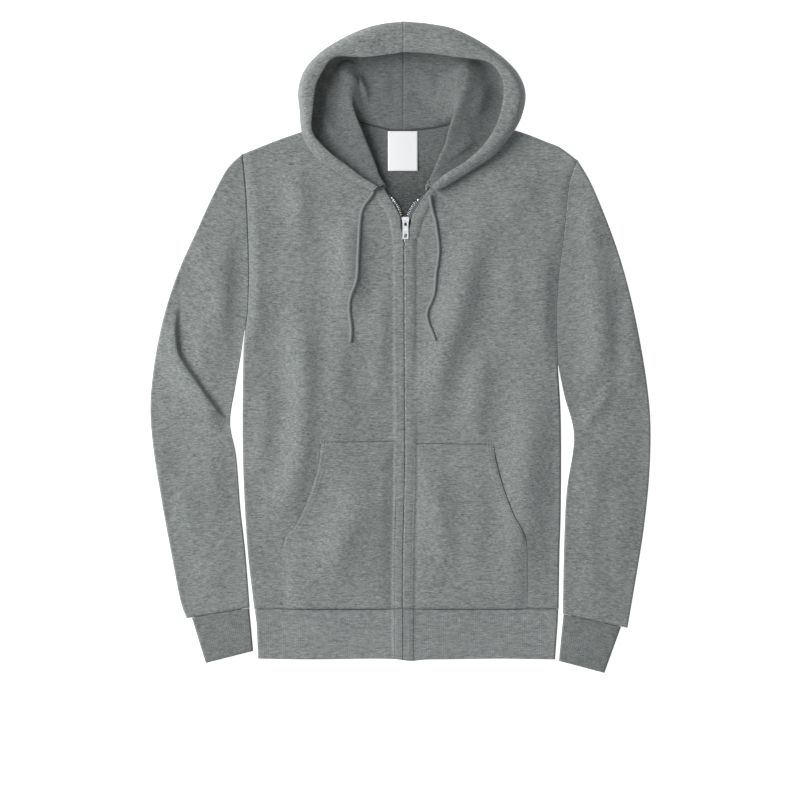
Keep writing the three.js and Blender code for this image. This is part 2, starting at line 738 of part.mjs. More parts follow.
function bandHeight(place, foldedEdges, zipX) {
  const swell = (foldedEdgeHeight - bandLayHeight) *
    Math.exp(-nearestOnOutline(place, foldedEdges).distance / edgeSwellReach);
  const share = 1 - THREE.MathUtils.smoothstep(Math.abs(place.x - zipX) - weltWidth, 0, weltSlope);
  return bandLayHeight + swell + share * (weltHeight + rib - fleece - bandLayHeight);
}

const bandFolds = [
  bandRows.map((row) => new THREE.Vector2(row.right, row.y)),
  bandRows.map((row) => new THREE.Vector2(row.left, row.y)),
];
const bandPoints = bandRows.map((row) => {
  const zipX = zipLine[0].x;
  const place = (share, from, to) => new THREE.Vector2(THREE.MathUtils.lerp(from, to, share), row.y);
  const upper = (p) => layerPoint(p, bandFolds, bandHeight(p, bandFolds, zipX), 1, rib, 0);
  const lower = (p) => layerPoint(p, bandFolds, 0, -1, rib, 0);
  return [
    ...reversed(acrossBandFront).map((share) => upper(place(share, row.right, zipX - chainHalfGap))),
    ...acrossBandBack.map((share) => lower(place(share, row.right, row.left))),
    ...acrossBandFront.map((share) => upper(place(share, row.left, zipX + chainHalfGap))),
  ];
});
add('waistband', wall(
  bandPoints.map((row) => row.map((p) => p.outer)),
  bandPoints.map((row) => row.map((p) => p.inner)),
), ribFabric);

// Pouch pockets, each laid on its front
const acrossPocket = [0, 0.1, 0.21, 0.32, 0.44, 0.56, 0.68, 0.8, 0.9, 1];
const upPocket = [0, 0.1, 0.2, 0.3, 0.39, 0.48, 0.58, 0.68, 0.78, 0.89, 1];
const pocketWelt = weltWidth + 0.9;
const pocketLift = 0.8;

function pocket(name, topEdge, openingEdge, frontHeight, zipSide) {
  const seam = zipLine.slice(1, 5).map((row) => ({ x: row.x + zipSide * pocketWelt, y: row.y + seamGap }));
  seam[seam.length - 1] = zipSide < 0 ? topEdge[topEdge.length - 1] : topEdge[0];
  const bottomRow = zipSide < 0
    ? straight(openingEdge[0].x, openingEdge[0].y, seam[0].x, seam[0].y)
    : straight(seam[0].x, seam[0].y, openingEdge[0].x, openingEdge[0].y);
  const leftRow = zipSide < 0 ? openingEdge : seam;
  const rightRow = zipSide < 0 ? seam : openingEdge;
  const grid = patch(edge(bottomRow), edge(topEdge), edge(leftRow), edge(rightRow), acrossPocket, upPocket);
  const raised = (amount) => grid.map((row) => row.map((place) =>
    new THREE.Vector3(place.x, place.y, frontHeight(place) + amount)));
  add(name, wall(raised(pocketLift + fleece), raised(pocketLift)), bodyFabric);
}

pocket('pocket_right', rightPocketTop, rightPocketOpening, rightFrontHeight, -1);
pocket('pocket_left', leftPocketTop, leftPocketOpening, leftFrontHeight, 1);

// Hood halves, lofted through their rows
const hoodRowSteps = 22;
const hoodPointSteps = 17;
const hoodStops = ['neck', 'ridge', 'valley', 'rim', 'crest', 'edge'];

function hoodHalf(name, rows) {
  const rails = hoodStops.map((stop) => new THREE.CatmullRomCurve3(rows.map((row) =>
    new THREE.Vector3(row[`${stop}X`], row[`${stop}Y`], row[`${stop}Z`])), false, 'centripetal'));
  const grid = [];
  for (let r = 0; r <= hoodRowSteps; r += 1) {
    const stops = rails.map((rail) => rail.getPoint(r / hoodRowSteps));
    grid.push(new THREE.CatmullRomCurve3(stops, false, 'centripetal').getSpacedPoints(hoodPointSteps));
  }
  add(name, thickSheet(grid, doubleFleece), bodyFabric);
}

hoodHalf('hood_right', rightHood);
hoodHalf('hood_left', leftHood);

// Zip tapes, under the folded edges of the fronts
const alongTape = 26;
function tape(name, chain, zipSide) {
  const meeting = shifted(zipLine, zipSide * chainHalfGap, 0);
  const bareEdge = curve([...meeting.slice(0, 6), ...chain]).getSpacedPoints(alongTape);
  const outer = [];
  const inner = [];
  bareEdge.forEach((place) => {
    const rowAt = (z) => [0, 0.5, 1].map((share) =>
      new THREE.Vector3(place.x + zipSide * tapeWidth * share, place.y, z));
    outer.push(rowAt(tapeBottom + tapeThickness));
    inner.push(rowAt(tapeBottom));
  });
  add(name, wall(outer, inner), tapeFabric);
}

tape('zip_tape_right', rightChain, -1);
tape('zip_tape_left', leftChain, 1);

// Slider, cut and joined from plates, a post and the bridge that holds the pull
function asManifold(geometry) {
  geometry.deleteAttribute('normal');
  geometry.deleteAttribute('uv');
  const merged = mergeVertices(geometry, 0.0001);
  return new wasm.Manifold(new wasm.Mesh({
    numProp: 3,
    vertProperties: merged.attributes.position.array,
    triVerts: new Uint32Array(merged.index.array),
  }));
}

function fromManifold(body) {
  const mesh = body.getMesh();
  const geometry = new THREE.BufferGeometry();
  geometry.setAttribute('position', new THREE.Float32BufferAttribute(mesh.vertProperties, 3));
  geometry.setIndex([...mesh.triVerts]);
  geometry.computeVertexNormals();
  return geometry;
}

function sliderOutline() {
  const halfTop = slider.topWidth / 2;
  const halfBottom = slider.bottomWidth / 2;
  const length = slider.top - slider.bottom;
  const round = slider.cornerRadius;
  const shape = new THREE.Shape();
  shape.moveTo(-halfBottom + round, 0);
  shape.lineTo(halfBottom - round, 0);
  shape.quadraticCurveTo(halfBottom, 0, halfBottom, round);
  shape.lineTo(halfTop, length - round);
  shape.quadraticCurveTo(halfTop, length, halfTop - round, length);
  shape.lineTo(-halfTop + round, length);
  shape.quadraticCurveTo(-halfTop, length, -halfTop, length - round);
  shape.lineTo(-halfBottom, round);
  shape.quadraticCurveTo(-halfBottom, 0, -halfBottom + round, 0);
  return shape;
}

const roundingSteps = 3;

function extrusion(depth) {
  return { depth, bevelEnabled: false, curveSegments: roundingSteps };
}

function slab(shape, z, thickness) {
  const geometry = new THREE.ExtrudeGeometry(shape, extrusion(thickness));
  geometry.translate(slider.x, slider.bottom, z);
  return asManifold(geometry);
}

const upperPlateTop = slider.upperPlateZ + slider.upperPlateThickness;
const overlap = 0.2;
const post = new THREE.BoxGeometry(
  slider.postWidth,
  slider.postLength,
  slider.upperPlateZ - slider.lowerPlateZ,
);
post.translate(
  slider.x,
  slider.top - slider.postLength,
  (slider.upperPlateZ + slider.lowerPlateZ + slider.plateThickness) / 2,
);
const bridgeShape = new THREE.Shape();
const bridgeHalf = bridge.length / 2;
const bridgeRound = 1.3;
bridgeShape.moveTo(-bridgeHalf, upperPlateTop - overlap);
bridgeShape.lineTo(bridgeHalf, upperPlateTop - overlap);
bridgeShape.lineTo(bridgeHalf, bridge.topZ - bridgeRound);
bridgeShape.quadraticCurveTo(bridgeHalf, bridge.topZ, bridgeHalf - bridgeRound, bridge.topZ);
bridgeShape.lineTo(-bridgeHalf + bridgeRound, bridge.topZ);
bridgeShape.quadraticCurveTo(-bridgeHalf, bridge.topZ, -bridgeHalf, bridge.topZ - bridgeRound);
const bridgeHole = new THREE.Path();
bridgeHole.moveTo(-bridge.openingHalf, bridge.floorZ);
bridgeHole.lineTo(-bridge.openingHalf, bridge.ceilingZ);
bridgeHole.lineTo(bridge.openingHalf, bridge.ceilingZ);
bridgeHole.lineTo(bridge.openingHalf, bridge.floorZ);
bridgeHole.closePath();
bridgeShape.holes.push(bridgeHole);
const bridgeBody = new THREE.ExtrudeGeometry(bridgeShape, extrusion(bridge.width));
bridgeBody.translate(0, 0, -bridge.width / 2);
bridgeBody.applyMatrix4(new THREE.Matrix4().makeBasis(
  new THREE.Vector3(0, 1, 0),
  new THREE.Vector3(0, 0, 1),
  new THREE.Vector3(1, 0, 0),
));
bridgeBody.translate(slider.x, pull.hingeY, 0);
const sliderBody = slab(sliderOutline(), slider.upperPlateZ, slider.upperPlateThickness)
  .add(slab(sliderOutline(), slider.lowerPlateZ, slider.plateThickness))
  .add(asManifold(post))
  .add(asManifold(bridgeBody));
add('zip_slider', fromManifold(sliderBody), metal);

// Pull tab, hung on the bridge by the bar at its upper end and lying towards the hem
function roundedBox(shape, left, bottom, right, top, radius) {
  shape.moveTo(left + radius, bottom);
  shape.lineTo(right - radius, bottom);
  shape.quadraticCurveTo(right, bottom, right, bottom + radius);
  shape.lineTo(right, top - radius);
  shape.quadraticCurveTo(right, top, right - radius, top);
  shape.lineTo(left + radius, top);
  shape.quadraticCurveTo(left, top, left, top - radius);
  shape.lineTo(left, bottom + radius);
  shape.quadraticCurveTo(left, bottom, left + radius, bottom);
  return shape;
}

const pullEnd = -pull.length + pull.barReach;
const pullShape = roundedBox(
  new THREE.Shape(),
  -pull.width / 2,
  pullEnd,
  pull.width / 2,
  pull.barReach,
  pull.cornerRadius,
);
pullShape.holes.push(
  roundedBox(
    new THREE.Path(),
    -pull.windowWidth / 2,
    -pull.windowEnd,
    pull.windowWidth / 2,
    -pull.barHalf,
    pull.windowRadius,
  ),
  roundedBox(
    new THREE.Path(),
    -pull.holeWidth / 2,
    pullEnd + pull.holeFromEnd,
    pull.holeWidth / 2,
    pullEnd + pull.holeFromEnd + pull.holeLength,
    pull.holeRadius,
  ),
);
const pullBody = new THREE.ExtrudeGeometry(pullShape, extrusion(pull.thickness));
pullBody.translate(slider.x, pull.hingeY, pull.hingeZ - pull.thickness / 2);
add('zip_pull', fromManifold(asManifold(pullBody)), metal);

// Drawcords
function cord(name, rows) {
  const route = new THREE.CatmullRomCurve3(rows.map((row) => new THREE.Vector3(row.x, row.y, row.z)));
  const section = new THREE.Shape();
  section.absarc(0, 0, cordDiameter / 2, 0, 2 * Math.PI);
  const steps = Math.round(route.getLength() / cordStep);
  const body = new THREE.ExtrudeGeometry(section, {
    steps,
    extrudePath: route,
    curveSegments: cordHalfSides,
    bevelEnabled: false,
  });
  add(name, fromManifold(asManifold(body)), cordFabric);
}

cord('drawcord_right', rightCord);
cord('drawcord_left', leftCord);

// Neck label, a flat woven tab that lifts a little at its lower edge
const labelShares = [0, 0.33, 0.67, 1];
const labelRows = (z) => labelShares.map((up) => labelShares.map((across) => new THREE.Vector3(
  THREE.MathUtils.lerp(label.left, label.right, across),
  THREE.MathUtils.lerp(label.bottom, label.top, up),
  z + label.lift * (1 - up) ** 2,
)));
const labelZ = fleece + seamGap;
add('neck_label', wall(labelRows(labelZ + label.thickness), labelRows(labelZ)), labelFabric);

export default group;
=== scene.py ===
# A zip-up hooded sweatshirt of grey heather fleece, laid flat on its back with the zip open at
# the neck and the hood spread open. +X is to the right as seen from above, +Y towards the hood
# and +Z up. Right and left are the wearer's, so the right side of the garment lies at -X.
import math

import bpy
import numpy as np
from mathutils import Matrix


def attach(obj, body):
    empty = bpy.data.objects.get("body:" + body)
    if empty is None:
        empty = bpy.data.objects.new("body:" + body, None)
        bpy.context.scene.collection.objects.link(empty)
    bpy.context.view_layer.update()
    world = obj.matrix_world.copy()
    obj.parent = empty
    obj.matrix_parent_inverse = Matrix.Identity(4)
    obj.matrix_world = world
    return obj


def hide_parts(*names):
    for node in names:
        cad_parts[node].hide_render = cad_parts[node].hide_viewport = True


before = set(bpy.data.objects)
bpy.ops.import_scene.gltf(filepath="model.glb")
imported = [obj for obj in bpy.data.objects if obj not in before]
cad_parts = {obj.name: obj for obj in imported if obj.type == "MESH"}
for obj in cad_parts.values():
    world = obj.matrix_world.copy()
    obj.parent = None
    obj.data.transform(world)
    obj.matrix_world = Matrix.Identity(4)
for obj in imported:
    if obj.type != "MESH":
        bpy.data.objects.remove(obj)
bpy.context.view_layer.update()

# The camera looks straight down from above the middle of the picture, and takes in a square of
# the surface, as the catalogue photograph does.
scene = bpy.context.scene
picture_side = 1.088
picture_middle = (-0.0061, -0.0721)
camera_height = 3.0


def put_in_scene(name, data):
    """Adds an object with this data to the scene."""
    made = bpy.data.objects.new(name, data)
    scene.collection.objects.link(made)
    return made


camera_data = bpy.data.cameras.new("Camera")
camera_data.type = "ORTHO"
camera_data.ortho_scale = picture_side
camera = put_in_scene("Camera", camera_data)
camera.location = (*picture_middle, camera_height)
scene.camera = camera

# The light is a large soft lamp at the upper left, a much weaker one below the hem, one overhead
# that shows in the metal, and an even pale surround.
scene.view_settings.view_transform = "Standard"
surround = bpy.data.worlds.new("Surround")
surround.use_nodes = True
surround.node_tree.nodes["Background"].inputs["Color"].default_value = (0.94, 0.97, 1.0, 1)
surround.node_tree.nodes["Background"].inputs["Strength"].default_value = 0.19
scene.world = surround


def soft_lamp(name, place, aim, side, power):
    """Square lamp of the given side at a place, turned towards the point it aims at."""
    data = bpy.data.lights.new(name, "AREA")
    data.shape = "SQUARE"
    data.size = side
    data.energy = power
    lamp = put_in_scene(name, data)
    away = np.array(place) - np.array(aim)
    across = math.hypot(away[0], away[1])
    lamp.rotation_euler = (math.atan2(across, away[2]), 0, math.atan2(away[0], -away[1]))
    lamp.location = place


soft_lamp("KeyLamp", (-3.35, 0.95, 2.75), (0, -0.05, 0), 3.2, 249)
soft_lamp("FillLamp", (-1.2, -3.6, 2.6), (0, 0, 0), 1.8, 36)
soft_lamp("OverheadLamp", (0.3, 0.5, 4.2), (0, 0, 0), 2.2, 13)


# The floor is a plain pale sheet that gives light of its own, as on a lit product table.
class Tone:
    """A shader socket on which sums are written; each operator adds one Math node."""

    def __init__(self, finish, socket):
        self.finish = finish
        self.socket = socket

    def maths(self, operation, first, second):
        return self.finish.node("ShaderNodeMath", {"operation": operation}, {0: first, 1: second})

    def __add__(self, other):
        return self.maths("ADD", self, other)

    def __sub__(self, other):
        return self.maths("SUBTRACT", self, other)

    def __mul__(self, other):
        return self.maths("MULTIPLY", self, other)

    def __radd__(self, other):
        return self.maths("ADD", other, self)

    def __rsub__(self, other):
        return self.maths("SUBTRACT", other, self)

    def __rmul__(self, other):
        return self.maths("MULTIPLY", other, self)

    def wave(self):
        """Sine of the value."""
        return self.maths("SINE", self, 0)

    def size(self):
        """The value without its sign."""
        return self.maths("ABSOLUTE", self, 0)


class Finish:
    """A material in the making, with a Principled shader whose fixed values are set at once."""

    def __init__(self, name, **fixed):
        self.material = bpy.data.materials.new(name)
        self.material.use_nodes = True
        self.tree = self.material.node_tree
        self.shader = self.tree.nodes["Principled BSDF"]
        for socket, value in fixed.items():
            self.shader.inputs[socket.replace("_", " ")].default_value = value

    def node(self, kind, settings=None, sockets=None, output=0):
        """Adds a node, sets its settings first and then its sockets' values or links."""
        made = self.tree.nodes.new(kind)
        for setting, value in (settings or {}).items():
            setattr(made, setting, value)
        for socket, value in (sockets or {}).items():
            if isinstance(value, Tone):
                self.tree.links.new(value.socket, made.inputs[socket])
            else:
                made.inputs[socket].default_value = value
        return Tone(self, made.outputs[output])

    def shade(self, socket, tone):
        """Links a tone to one of the shader's sockets."""
        self.tree.links.new(tone.socket, self.shader.inputs[socket])

    def mix(self, share, first, second):
        """Colour that goes from the first to the second with the share."""
        return self.node("ShaderNodeMix", {"data_type": "RGBA"}, {0: share, 6: first, 7: second}, 2)

    def object_place(self):
        """Place on the object, in metres."""
        return self.node("ShaderNodeTexCoord", output=3)

    def cloth_place(self):
        """Place on the unrolled cloth, in metres, kept on the mesh as the attribute cloth."""
        return self.node("ShaderNodeAttribute", {"attribute_name": "cloth"}, output=1)

    def parts(self, place):
        """The X and the Y of a place."""
        split = self.node("ShaderNodeSeparateXYZ", sockets={0: place}).socket.node
        return Tone(self, split.outputs[0]), Tone(self, split.outputs[1])

    def grains(self, place, size, detail=2.0):
        """Noise from 0 to 1 whose grains have the given size in metres along each axis."""
        stretched = self.node(
            "ShaderNodeVectorMath",
            {"operation": "DIVIDE"},
            {0: place, 1: size},
        )
        return self.node(
            "ShaderNodeTexNoise",
            sockets={"Vector": stretched, "Scale": 1.0, "Detail": detail},
        )

    def relief(self, height, depth):
        """Bump of a height from 0 to 1, whose full depth is in metres."""
        bump = self.node(
            "ShaderNodeBump",
            sockets={"Height": height, "Distance": depth, "Strength": 1.0},
        )
        self.shade("Normal", bump)


def pale_surface():
    """White painted surface with faint wide clouds."""
    finish = Finish("PaleSurface", Roughness=0.8, Emission_Strength=0.88)
    finish.shader.inputs["Emission Color"].default_value = (1, 1, 1, 1)
    clouds = finish.grains(finish.object_place(), (0.5, 0.5, 0.5))
    finish.shade("Base Color", finish.mix(clouds, (0.62, 0.63, 0.64, 1), (0.68, 0.685, 0.69, 1)))
    return finish.material


floor_half = 14.0
floor_level = -0.0004
floor_mesh = bpy.data.meshes.new("Floor")
floor_mesh.from_pydata(
    [
        (-floor_half, -floor_half, floor_level),
        (floor_half, -floor_half, floor_level),
        (floor_half, floor_half, floor_level),
        (-floor_half, floor_half, floor_level),
    ],
    [],
    [(0, 1, 2, 3)],
)
floor_mesh.materials.append(pale_surface())
floor = put_in_scene("Floor", floor_mesh)

# The back panel is one piece of brushed fleece that lies on the surface under both fronts. Its
# sides and shoulders turn up on a round fold to the seams that join it to the fronts.
fleece_wall = 2.0
seam_gap = 0.3
fold_height = 6.6
fold_radius = 3.3
seam_height = fold_height / 2
waist_y = -356.3

right_side = [
    (-204.3, waist_y), (-209.2, -315.5), (-214.1, -266.6), (-219.0, -180.0),
    (-220.5, -99.3), (-219.2, -13.6), (-216.9, 23.1),
]
left_side = [
    (209.7, waist_y), (210.9, -278.8), (212.7, -217.6), (212.8, -100.6), (208.6, -25.8),
]
right_armhole = [
    (-216.9, 23.1), (-213.1, 53.0), (-211.8, 107.4), (-213.1, 160.5), (-215.8, 214.9),
    (-220.3, 262.5),
]
left_armhole = [
    (208.6, -25.8), (206.7, 23.1), (207.3, 63.9), (211.9, 117.0), (217.3, 160.5),
    (223.6, 220.3), (234.6, 254.3),
]
right_shoulder = [
    (-220.3, 262.5), (-189.7, 274.7), (-161.2, 285.6), (-120.0, 299.0), (-80.9, 310.1),
]
left_shoulder = [
    (234.6, 254.3), (212.8, 270.6), (193.8, 278.8), (148.9, 295.1), (79.6, 310.6),
]
back_neck = [
    (-80.9, 310.1), (-68.7, 306.5), (-56.4, 304.2), (-44.2, 300.8), (-30.6, 297.4), (-17.0, 294.7),
    (-1.8, 294.0), (-1.4, 294.0), (12.9, 294.9), (27.9, 296.3), (41.5, 298.1), (53.7, 301.1),
    (66.0, 304.9), (79.6, 310.6),
]
steps_per_span = 40


def along_line(values, reach, places):
    """Values that belong to a line's points, read at places measured along it. Reach is the way
    run up to each point."""
    columns = range(values.shape[1])
    return np.stack([np.interp(places, reach, values[:, k]) for k in columns], -1)


def cubic(start, end, leaving, arriving, part):
    """Point at a part of a span that leaves its start and arrives at its end at these slopes."""
    return (
        start
        + leaving * part
        + (3 * (end - start) - 2 * leaving - arriving) * part**2
        + (2 * (start - end) + leaving + arriving) * part**3
    )


def smooth_line(rows, shares):
    """Points at these shares of the length of a smooth line through the rows. Each span is a
    Catmull-Rom cubic, whose end slopes are half the step between the neighbouring rows."""
    rows = np.array(rows, float)
    spans = len(rows) - 1
    along = np.linspace(0, spans, spans * steps_per_span + 1)
    span = np.minimum(along.astype(int), spans - 1)
    part = (along - span)[:, None]
    before, start = rows[np.maximum(span - 1, 0)], rows[span]
    end, after = rows[span + 1], rows[np.minimum(span + 2, spans)]
    points = cubic(start, end, (end - before) / 2, (after - start) / 2, part)
    reach = np.concatenate([[0], np.cumsum(np.linalg.norm(np.diff(points, axis=0), axis=1))])
    return along_line(points, reach, np.asarray(shares, float) * reach[-1])


def edge_line(edge, shares):
    """Points at these shares of an edge, which is one smooth line through rows of places, or
    several end to end, each given with the share of the whole that it reaches up to."""
    if not isinstance(edge, dict):
        return smooth_line(edge, shares)
    shares = np.asarray(shares, float)
    points = np.zeros((len(shares), 2))
    start = 0.0
    for until, rows in edge.items():
        own = (shares >= start) & (shares <= until)
        points[own] = smooth_line(rows, (shares[own] - start) / (until - start))
        start = until
    return points


def patch(bottom, top, left, right, across, up):
    """Grid of points between four edges: the blend of bottom and top, plus that of left and
    right, less the blend of the four corners. The shares across and up run from 0 to 1."""
    u = np.asarray(across, float)[None, :, None]
    v = np.asarray(up, float)[:, None, None]
    low, high = edge_line(bottom, across)[None], edge_line(top, across)[None]
    near, far = edge_line(left, up)[:, None], edge_line(right, up)[:, None]
    corners = (
        (1 - u) * (1 - v) * low[:, :1]
        + u * (1 - v) * low[:, -1:]
        + (1 - u) * v * high[:, :1]
        + u * v * high[:, -1:]
    )
    return (1 - v) * low + v * high + (1 - u) * near + u * far - corners


def nearest(points, line):
    """For each point, the distance to a line of straight spans, the direction away from it, and
    the side it lies on: positive to the left of the way along the line."""
    flat = points.reshape(-1, 2)
    start, step = line[:-1], np.diff(line, axis=0)
    offset = flat[:, None] - start
    along = np.clip((offset * step).sum(-1) / (step**2).sum(-1), 0, 1)
    gap = offset - along[..., None] * step
    distance = np.linalg.norm(gap, axis=-1)
    best = distance.argmin(1)
    pick = np.arange(len(flat))
    least = distance[pick, best]
    turn = np.stack([-step[best, 1], step[best, 0]], -1)
    turn /= np.linalg.norm(turn, axis=-1)[:, None]
    outwards = gap[pick, best] / np.maximum(least, 1e-9)[:, None]
    away = np.where(least[:, None] > 0.001, outwards, turn)
    side = np.sign((away * turn).sum(-1))
    shape = points.shape[:-1]
    return least.reshape(shape), away.reshape(points.shape), side.reshape(shape)


def nearest_of(points, lines):
    """Distance from the nearest of several lines, and the direction that leads from it into the
    piece, towards the middle of all the points."""
    found = [nearest(points, line) for line in lines]
    distances = np.stack([each[0] for each in found])
    best = distances.argmin(0)
    away = np.take_along_axis(np.stack([each[1] for each in found]), best[None, ..., None], 0)[0]
    inwards = ((points.reshape(-1, 2).mean(0) - points) * away).sum(-1, keepdims=True)
    return distances.min(0), away * np.where(inwards < 0, -1.0, 1.0)


def at_level(points, level):
    """Points in plan put at one height or at a height for each."""
    heights = np.broadcast_to(level, points.shape[:-1])
    return np.concatenate([points, heights[..., None]], -1)


def turned(points, distance, away, top, facing, wall, gap):
    """Outer and inner sheet of a cloth layer. Within the fold's radius of its folded edge the
    layer follows a quarter circle down to the seam height. Facing is 1 upwards, -1 downwards."""
    flat = np.clip(1 - distance / fold_radius, 0, 1)
    steep = np.sqrt(1 - flat**2)
    base = seam_height + facing * gap / 2
    level = base + (top - base) * steep
    inward = points + away * (wall * flat)[..., None]
    return at_level(points, level), at_level(inward, level - facing * wall * steep)


def fold_shares(width):
    """Shares of a width at which the turn at a folded edge is cut, at equal angles of its
    quarter circle."""
    angles = np.linspace(0, math.pi / 2, 8)
    return fold_radius * (1 - np.cos(angles)) / width


def turn_shares(width, middle_count, both_ends=True):
    """Shares across a piece that turns at one or both of its ends, close together there."""
    turn = fold_shares(width)
    last = 1 - turn[::-1] if both_ends else np.array([1.0])
    middle = np.linspace(turn[-1], last[0], middle_count + 1)[1:-1]
    return np.concatenate([turn, middle, last])


def grid_faces(rows, columns, closed):
    """Corner numbers of the four-sided faces of a grid, row by row."""
    spans = columns if closed else columns - 1
    r, c = np.meshgrid(np.arange(rows - 1), np.arange(spans), indexing="ij")
    following = (c + 1) % columns
    low, high = r * columns, (r + 1) * columns
    corners = [low + c, low + following, high + following, high + c]
    return np.stack(corners, -1).reshape(-1, 4)


def solid_mesh(name, points, faces, cloth, material):
    """Mesh in metres from points in millimetres, its faces turned outwards by the sign of the
    volume they enclose, with the place on the unrolled cloth kept at each point."""
    a, b, c, d = (points[faces[:, k]] for k in range(4))
    volume = (a * np.cross(b, c)).sum() + (a * np.cross(c, d)).sum()
    if volume < 0:
        faces = faces[:, ::-1]
    mesh = bpy.data.meshes.new(name)
    mesh.vertices.add(len(points))
    mesh.vertices.foreach_set("co", (points * 0.001).astype(np.float32).ravel())
    mesh.loops.add(faces.size)
    mesh.loops.foreach_set("vertex_index", faces.astype(np.int32).ravel())
    mesh.polygons.add(len(faces))
    mesh.polygons.foreach_set("loop_start", np.arange(0, faces.size, 4, dtype=np.int32))
    mesh.polygons.foreach_set("use_smooth", np.ones(len(faces), bool))
    mesh.update(calc_edges=True)
    kept = mesh.attributes.new("cloth", "FLOAT_VECTOR", "POINT")
    kept.data.foreach_set("vector", (cloth * 0.001).astype(np.float32).ravel())
    mesh.materials.append(material)
    mesh.validate()
    return put_in_scene(name, mesh)


def cloth_shell(name, outer, inner, cloth, material, closed=False, inside=None, flat_rims=False):
    """Closed piece of cloth between an outer and an inner grid of points. Cloth gives each
    point's place on the unrolled cloth: the point itself where the threads lie along X and Y.
    With closed rows the piece is a tube that stays open at both ends. The inner sheet may have a
    finish of its own, and flat rims keep the sheets' shading apart from that of the edges."""
    rows, columns = outer.shape[:2]
    count = rows * columns
    sheet = grid_faces(rows, columns, closed)
    faces = [sheet, sheet[:, ::-1] + count]
    c = np.arange(columns if closed else columns - 1)
    following = (c + 1) % columns
    faces.append(np.stack([following, c, c + count, following + count], -1))
    end = (rows - 1) * columns + c
    after = (rows - 1) * columns + following
    faces.append(np.stack([end, after, after + count, end + count], -1))
    if not closed:
        r = np.arange(rows - 1) * columns
        low, high = r, r + columns
        faces.append(np.stack([low, high, high + count, low + count], -1))
        low, high = r + columns - 1, r + 2 * columns - 1
        faces.append(np.stack([high, low, low + count, high + count], -1))
    points = np.concatenate([outer.reshape(-1, 3), inner.reshape(-1, 3)])
    place = np.concatenate([cloth.reshape(-1, 3), cloth.reshape(-1, 3)])
    made = solid_mesh(name, points, np.concatenate(faces), place, material)
    if inside is not None:
        made.data.materials.append(inside)
        finishes = np.zeros(len(made.data.polygons), np.int32)
        finishes[len(sheet) : 2 * len(sheet)] = 1
        made.data.polygons.foreach_set("material_index", finishes)
    if flat_rims:
        smooth = np.arange(len(made.data.polygons)) < 2 * len(sheet)
        made.data.polygons.foreach_set("use_smooth", smooth)
    return made


neck_bottom = 0.150
neck_top = 0.262


def heather(name, dark, light, fleck=1.0, neck_shade=0.0):
    """Grey heather: dark and light fibres run across the knit as short streaks, over a soft
    mottle, on fine upright columns of stitches with a fuzzy surface. A neck shade is painted
    shade: it darkens the tone by that share towards the bottom of the open neck."""
    finish = Finish(
        name,
        Roughness=0.95,
        Sheen_Weight=0.18,
        Sheen_Roughness=0.6,
        Specular_IOR_Level=0.15,
    )
    place = finish.cloth_place()
    streaks = finish.grains(place, (0.0085, 0.0015, 0.0015), 3.0) - 0.5
    flecks = finish.grains(place, (0.0036, 0.0010, 0.0010), 2.0) - 0.5
    mottle = finish.grains(place, (0.010, 0.006, 0.006), 2.0) - 0.5
    clouds = finish.grains(place, (0.07, 0.06, 0.06), 1.0) - 0.5
    tone = 0.5 + streaks * (1.25 * fleck) + flecks * (1.4 * fleck) + mottle * 0.35 + clouds * 0.2
    across, along = finish.parts(place)
    if neck_shade:
        # Painted shade: the tone darkens towards the bottom of the open neck, where little light
        # reaches.
        depth = finish.node(
            "ShaderNodeMapRange",
            sockets={0: along, 1: neck_bottom, 2: neck_top, 3: neck_shade, 4: 0.0},
        )
        tone = tone - depth
    finish.shade("Base Color", finish.mix(tone, dark, light))
    wale = (across * (math.pi / 0.0014)).wave().size()
    course = (along * (2 * math.pi / 0.0011) + wale * 1.6).wave()
    fuzz = finish.grains(place, (0.0009, 0.0009, 0.0009), 2.0)
    finish.relief(wale * 0.5 + course * 0.12 + fuzz * 0.7 + tone * 0.3, 0.00035)
    return finish.material


fleece_dark = (0.092, 0.101, 0.099, 1)
fleece_light = (0.352, 0.376, 0.369, 1)
body_fleece = heather("HeatherFleece", fleece_dark, fleece_light)
# The brushed inside is darker than the face: partly its own tone and partly painted shade for the
# shaded inside of the open neck, with more painted shade towards the bottom of the neck.
brushed_inside_and_shade = heather(
    "BrushedInsideAndShade", (0.040, 0.044, 0.043, 1), (0.230, 0.246, 0.242, 1), 0.75, 0.62
)
side_share = 0.62
neck_shares = (0.3, 0.7)
outline_shares = np.linspace(0, 1, 61)
back_side_lines = [
    smooth_line(rows, outline_shares)
    for rows in (right_side, left_side, right_shoulder, left_shoulder)
]
crease_shares = np.linspace(0, 1, 11)
# Each crease is the points that its line goes through, its height and its width.
back_creases = [
    ([(-120, 220), (-104, 60), (-96, -60)], 0.9, 15),
    ([(-30, 160), (-40, -60), (-56, -240)], 0.7, 19),
    ([(70, 240), (82, 90), (90, -20)], 1.0, 14),
    ([(156, 100), (136, -90), (112, -230)], 0.8, 17),
    ([(-176, -20), (-160, -180), (-146, -320)], 0.9, 13),
    ([(14, -60), (34, -220), (52, -345)], 0.6, 16),
]


def eased(share):
    """Smooth step from 0 to 1."""
    share = np.clip(share, 0, 1)
    return share * share * (3 - 2 * share)


def bell(distance, width):
    """Bell-shaped section: e to the minus square of the distance over the width."""
    return np.exp(-((distance / width) ** 2))


def crease_height(points, creases):
    """Sum of soft creases. Each is its height times a bell of the distance from its smooth
    line, and tapers off at both ends."""
    height = np.zeros(points.shape[:-1])
    for rows, tall, width in creases:
        line = smooth_line(rows, crease_shares)
        distance = nearest(points, line)[0]
        to_start = np.linalg.norm(points - line[0], axis=-1)
        to_end = np.linalg.norm(points - line[-1], axis=-1)
        taper = 0.4 * np.linalg.norm(line[-1] - line[0])
        ends = eased(np.minimum(to_start, to_end) / taper)
        height += tall * bell(distance, width) * ends
    return height


